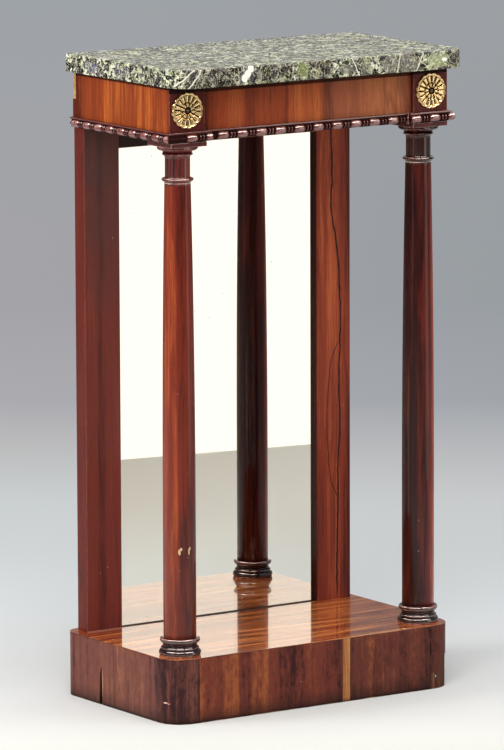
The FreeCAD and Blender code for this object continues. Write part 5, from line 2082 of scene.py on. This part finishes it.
        # The pale strip by the split is painted light: the split's lit inner wall of raw wood.
        scars_and_split_light = (((low[0], 0.0726, 0.004), (0.002, 0.0011, 0.0062), (14, 8, 7), 1.0, 0.3),
                 ((low[0], 0.0537, 0.03), (0.002, 0.0006, 0.02), (196, 158, 128), 0.85, 0.4),
                 ((-0.2349, -0.1007, 0.0296), (0.004, 0.0034, 0.0011), (226, 178, 160), 1.0, 0.4),
                 ((-0.2322, -0.105, 0.0285), (0.003, 0.002, 0.0008), (206, 150, 130), 0.8, 0.4))
        left = Wood("plinth left", dark=tint(52, 28, 30), mid=tint(112, 64, 54), light=tint(150, 96, 70),
                    band=110.0, contrast=0.5, lines=0.4, rough=0.42, polish=0.15, polish_rough=0.3,
                    wear_and_painted_light=0.8, bare_and_highlight=tint(150, 104, 84), grime=0.6, mottle=0.2,
                    drift=Drift(Axis.Y, self.left_tone),
                    marks=(*(Mark(at, size, tint(*colour), strength, border)
                             for at, size, colour, strength, border in scars_and_split_light), seam))
        front = Wood("plinth front", dark=tint(52, 24, 24), mid=tint(110, 52, 40), light=tint(152, 84, 46),
                     band=80.0, contrast=0.5, rough=0.42, polish=0.1, polish_rough=0.25, wear_and_painted_light=0.6,
                     bare_and_highlight=tint(150, 92, 66), grime=0.65, mottle=0.24, marks=(seam,),
                     drift=Drift(Axis.X, self.front_tone))
        foot = Mark((0.1564, low[1], 0.008), (0.0006, 0.01, 0.013), tint(26, 14, 14), 0.7, 0.4)
        right = replace(front, name="plinth right", dark=tint(48, 26, 24), mid=tint(98, 50, 40),
                        light=tint(146, 82, 50), shift=(0.21, 0.4, 0.0), marks=(foot,),
                        drift=Drift(Axis.X, self.right_tone))
        return left, front, right

    def build(self, shop: Workshop) -> None:
        """Make the plinth's veneers; the top is bright and polished, its edges darkened.

        Args:
            shop: The workshop.
        """
        low, high = span("plinth_top_veneer")
        top = plate(self.plan(), low[2], high[2], 0.0004)
        top.wear_and_painted_light = np.where(top.points[:, 2] < high[2] - 0.00002, -0.75, 0.0)
        chip = Mark((0.228, 0.012, 0.0905), (0.0035, 0.004, 0.002), tint(226, 164, 104), 0.8, 0.6)
        bright = Wood("plinth top", dark=tint(128, 54, 24), mid=tint(198, 99, 45), light=tint(246, 156, 78),
                      grain=Axis.X, band=75.0, contrast=1.9, lines=0.5, polish=1.0, polish_rough=0.02,
                      rough=0.08, specular=0.5, wear_and_painted_light=0.0, ripple=0.00004, marks=(chip,))
        shop.make("plinth_top_veneer", top, bright)
        self.skirt(shop)


# ---- studio
@dataclass
class Studio:
    """A pale floor, a plain background, soft lamps and the camera.

    Args:
        aim: The point that the camera looks at.
        stand: Where the camera stands.
        roll: How far the camera leans, in degrees.
        lens: Its focal length in millimetres.
        away: The level direction in which it looks.
        reach: The floor's radius.
        glint_rises: The heights of the high cards' foot and top over the horizon, in degrees.
        glint_power: How bright they are.
    """

    aim: Point = (-0.01683, 0.0081, 0.4484)
    stand: Point = (-4.87794, -7.17173, 1.83861)
    roll: float = -0.203
    lens: float = 303.88
    away: Point = (0.5606, 0.8281, 0.0)
    reach: float = 16.0
    glint_rises: tuple[float, float] = (38.0, 66.0)
    glint_power: float = 17.0

    def build(self) -> None:
        """Make the whole studio."""
        self.view()
        self.floor()
        self.cards()
        self.world()
        for name, at, size, power in (
                ("key", (-2.2, -2.2, 2.2), 2.0, 64.0), ("side", (-2.6, 0.9, 1.3), 1.2, 40.0),
                ("fill", (2.4, -2.6, 1.8), 2.2, 20.0), ("top", (0.0, -0.6, 3.2), 2.0, 52.0)):
            self.lamp(name, at, size, power)
        bpy.context.scene.view_settings.view_transform = "Standard"

    def aimed(self, holder: bpy.types.Object, at: Point, aim: Point, roll: float = 0.0) -> None:
        """Place a camera or a lamp: it looks along its own -Z, its X level but for the roll.

        Args:
            holder: The object.
            at: Where it stands.
            aim: The point that it looks at.
            roll: How far it leans, in degrees.
        """
        back = np.array(at) - np.array(aim)
        back /= np.linalg.norm(back)
        right = np.cross((0.0, 0.0, 1.0), back)
        right /= np.linalg.norm(right)
        up = np.cross(back, right)
        lean = math.radians(roll)
        matrix = np.eye(4)
        matrix[:3] = np.stack([right * math.cos(lean) + up * math.sin(lean),
                               up * math.cos(lean) - right * math.sin(lean), back, at], axis=1)
        holder.matrix_world = Matrix(matrix.tolist())
        bpy.context.scene.collection.objects.link(holder)

    def view(self) -> None:
        """Set up the camera."""
        camera = bpy.data.cameras.new("camera")
        camera.lens = self.lens
        camera.sensor_width = 36.0
        camera.clip_end = 60.0
        holder = bpy.data.objects.new("camera", camera)
        self.aimed(holder, self.stand, self.aim, self.roll)
        bpy.context.scene.camera = holder

    def stage(self, name: str, points: list[Point], material: bpy.types.Material) -> None:
        """Add a flat surface that is no part of the table.

        Args:
            name: Its name.
            points: Its corners, in order round it.
            material: Its material.
        """
        mesh = bpy.data.meshes.new(name)
        mesh.from_pydata(points, [], [tuple(range(len(points)))])
        mesh.materials.append(material)
        piece = bpy.data.objects.new(name, mesh)
        bpy.context.scene.collection.objects.link(piece)

    def surfaced(self, material: bpy.types.Material, graph: Graph, share: Socket, first: bpy.types.Node,
                 second: bpy.types.Node) -> None:
        """Give a material two shaders, the second as far as the share says."""
        blend = graph.add("MixShader", share, first.outputs[0], second.outputs[0]).outputs[0]
        graph.fill(material.node_tree.nodes["Material Output"], Surface=blend)

    def floor(self) -> None:
        """A round floor, pale near the table, that turns into a plain grey ground behind it.

        Depth is the distance behind the table, away from the camera. Up to 0.7 m the floor
        is lit and keeps the table's shadow; from there to 1.6 m it blends into a plain
        colour that follows the depth and runs a little from left to right.
        """
        material, graph, shader = blank("floor")
        place = graph.place()
        depth = graph.vector("DOT_PRODUCT", place, self.away)
        across = graph.vector("DOT_PRODUCT", place, (self.away[1], -self.away[0], 0.0))
        ground = graph.ramp(graph.times(graph.plus(depth, 2.0), 0.25), (
            (0.0, (188, 183, 170)), (0.25, (201, 196, 184)), (0.42, (226, 226, 220)),
            (0.5, (224, 225, 224)), (0.665, (212, 216, 218)), (1.0, (204, 210, 210))))
        ground = graph.mix(graph.band(across, 0.5, 1.2), ground, tint(251, 246, 243), "MULTIPLY")
        graph.fill(shader, Base_Color=ground, Roughness=0.9, Specular_IOR_Level=0.1)
        far = graph.times(graph.minus(depth, 0.5), 0.1)
        places = (0.016, 0.048, 0.1, 0.15, 0.2, 0.32, 0.92)
        left, right = (
            graph.ramp(far, tuple(zip(places, colours)))
            for colours in (((218, 223, 226), (215, 219, 219), (203, 208, 208), (189, 189, 190),
                             (172, 171, 176), (164, 163, 168), (158, 163, 167)),
                            ((218, 220, 219), (213, 216, 214), (200, 202, 203), (182, 184, 187),
                             (161, 165, 170), (153, 158, 162), (156, 160, 164))))
        glow = graph.add("Emission", graph.mix(graph.band(across, -0.6, 0.6), left, right))
        seen = graph.add("LightPath").outputs["Is Camera Ray"]
        self.surfaced(material, graph, graph.times(graph.band(depth, 0.7, 1.6), seen), shader, glow)
        angles = np.linspace(0, 2 * math.pi, 96, endpoint=False)
        rim = np.stack([np.cos(angles), np.sin(angles), np.zeros(96)], axis=1) * self.reach
        self.stage("floor", rim.tolist(), material)

    def card(self, name: str, corners: list[Point], power: float, colour: Colour = (1.0, 1.0, 0.98)) -> None:
        """Add a bright card that only polished surfaces see.

        Args:
            name: Its name.
            corners: Its four corners.
            power: How bright it is.
            colour: Its colour.
        """
        material, graph, shader = blank(name)
        glow = graph.add("Emission", colour, power)
        glossy = graph.add("LightPath").outputs["Is Glossy Ray"]
        self.surfaced(material, graph, glossy, graph.add("BsdfTransparent"), glow)
        material.node_tree.nodes.remove(shader)
        self.stage(name, corners, material)

    def cards(self) -> None:
        """Set up the white wall in the mirror and two more upright cards, and three high ones.

        The high cards hang 3 m from the table's middle and give the polish its glints. Each
        lies between two directions, counted in degrees from +X towards +Y, and between two
        rises over the horizon.
        """
        for name, first, last, (low, high), *light in (
                ("far_wall", (0.78, -1.45), (1.5, -1.332), (0.004, 1.4), 1.63, (1.0, 0.94, 0.84)),
                ("left_card", (-3.0, -0.75), (-3.05, -0.35), (0.0, 2.2), 1.2),
                ("back_card", (-0.2, 4.2), (3.6, 1.6), (0.92, 3.4), 0.52)):
            self.card(name, [(*first, low), (*last, low), (*last, high), (*first, high)], *light)
        low, high = self.glint_rises
        for name, start, end in (("glint_left", -232.0, -166.0), ("glint_front", -152.0, -98.0),
                                 ("glint_right", -84.0, -20.0)):
            corners = []
            for turn, rise in ((start, low), (end, low), (end, high), (start, high)):
                flat, up = math.radians(turn), math.radians(rise)
                corners.append((3 * math.cos(flat) * math.cos(up), 3 * math.sin(flat) * math.cos(up),
                                MIDDLE[2] + 3 * math.sin(up)))
            self.card(name, corners, self.glint_power, (1.0, 0.86, 0.78))

    def world(self) -> None:
        """Even light from all round, seen as a plain grey and darker in reflections."""
        world = bpy.data.worlds.new("studio")
        world.use_nodes = True
        graph = Graph(world.node_tree)
        rays = graph.add("LightPath").outputs
        shown = graph.mix(rays["Is Glossy Ray"], tint(165, 165, 165), tint(104, 106, 108))
        shown = graph.mix(rays["Is Camera Ray"], shown, tint(157, 162, 166))
        graph.fill(world.node_tree.nodes["Background"], Color=shown, Strength=1.0)
        bpy.context.scene.world = world

    def lamp(self, name: str, at: Point, size: float, power: float) -> None:
        """Add a soft square lamp aimed at the table's middle.

        Args:
            name: Its name.
            at: Where it hangs.
            size: Its width.
            power: Its power in watts.
        """
        light = bpy.data.lights.new(name, "AREA")
        light.size = size
        light.energy = power
        holder = bpy.data.objects.new(name, light)
        holder.visible_glossy = False
        self.aimed(holder, at, MIDDLE)


def main() -> None:
    """Build the studio and every part of the table, and log how many pieces and finishes were made."""
    logging.basicConfig(level=logging.INFO, format="%(message)s")
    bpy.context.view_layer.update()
    shop = Workshop(Effects())
    for part in (Plinth(), Columns(), Pilasters(), Mirror(), FriezeVeneers(), BeadMoulding(), Rosettes(),
                 MarbleSlab(), Carcass()):
        part.build(shop)
    Studio().build()
    log.info("made %d pieces and %d finishes", shop.made, len(shop.finishes))


if __name__ == "__main__":
    main()
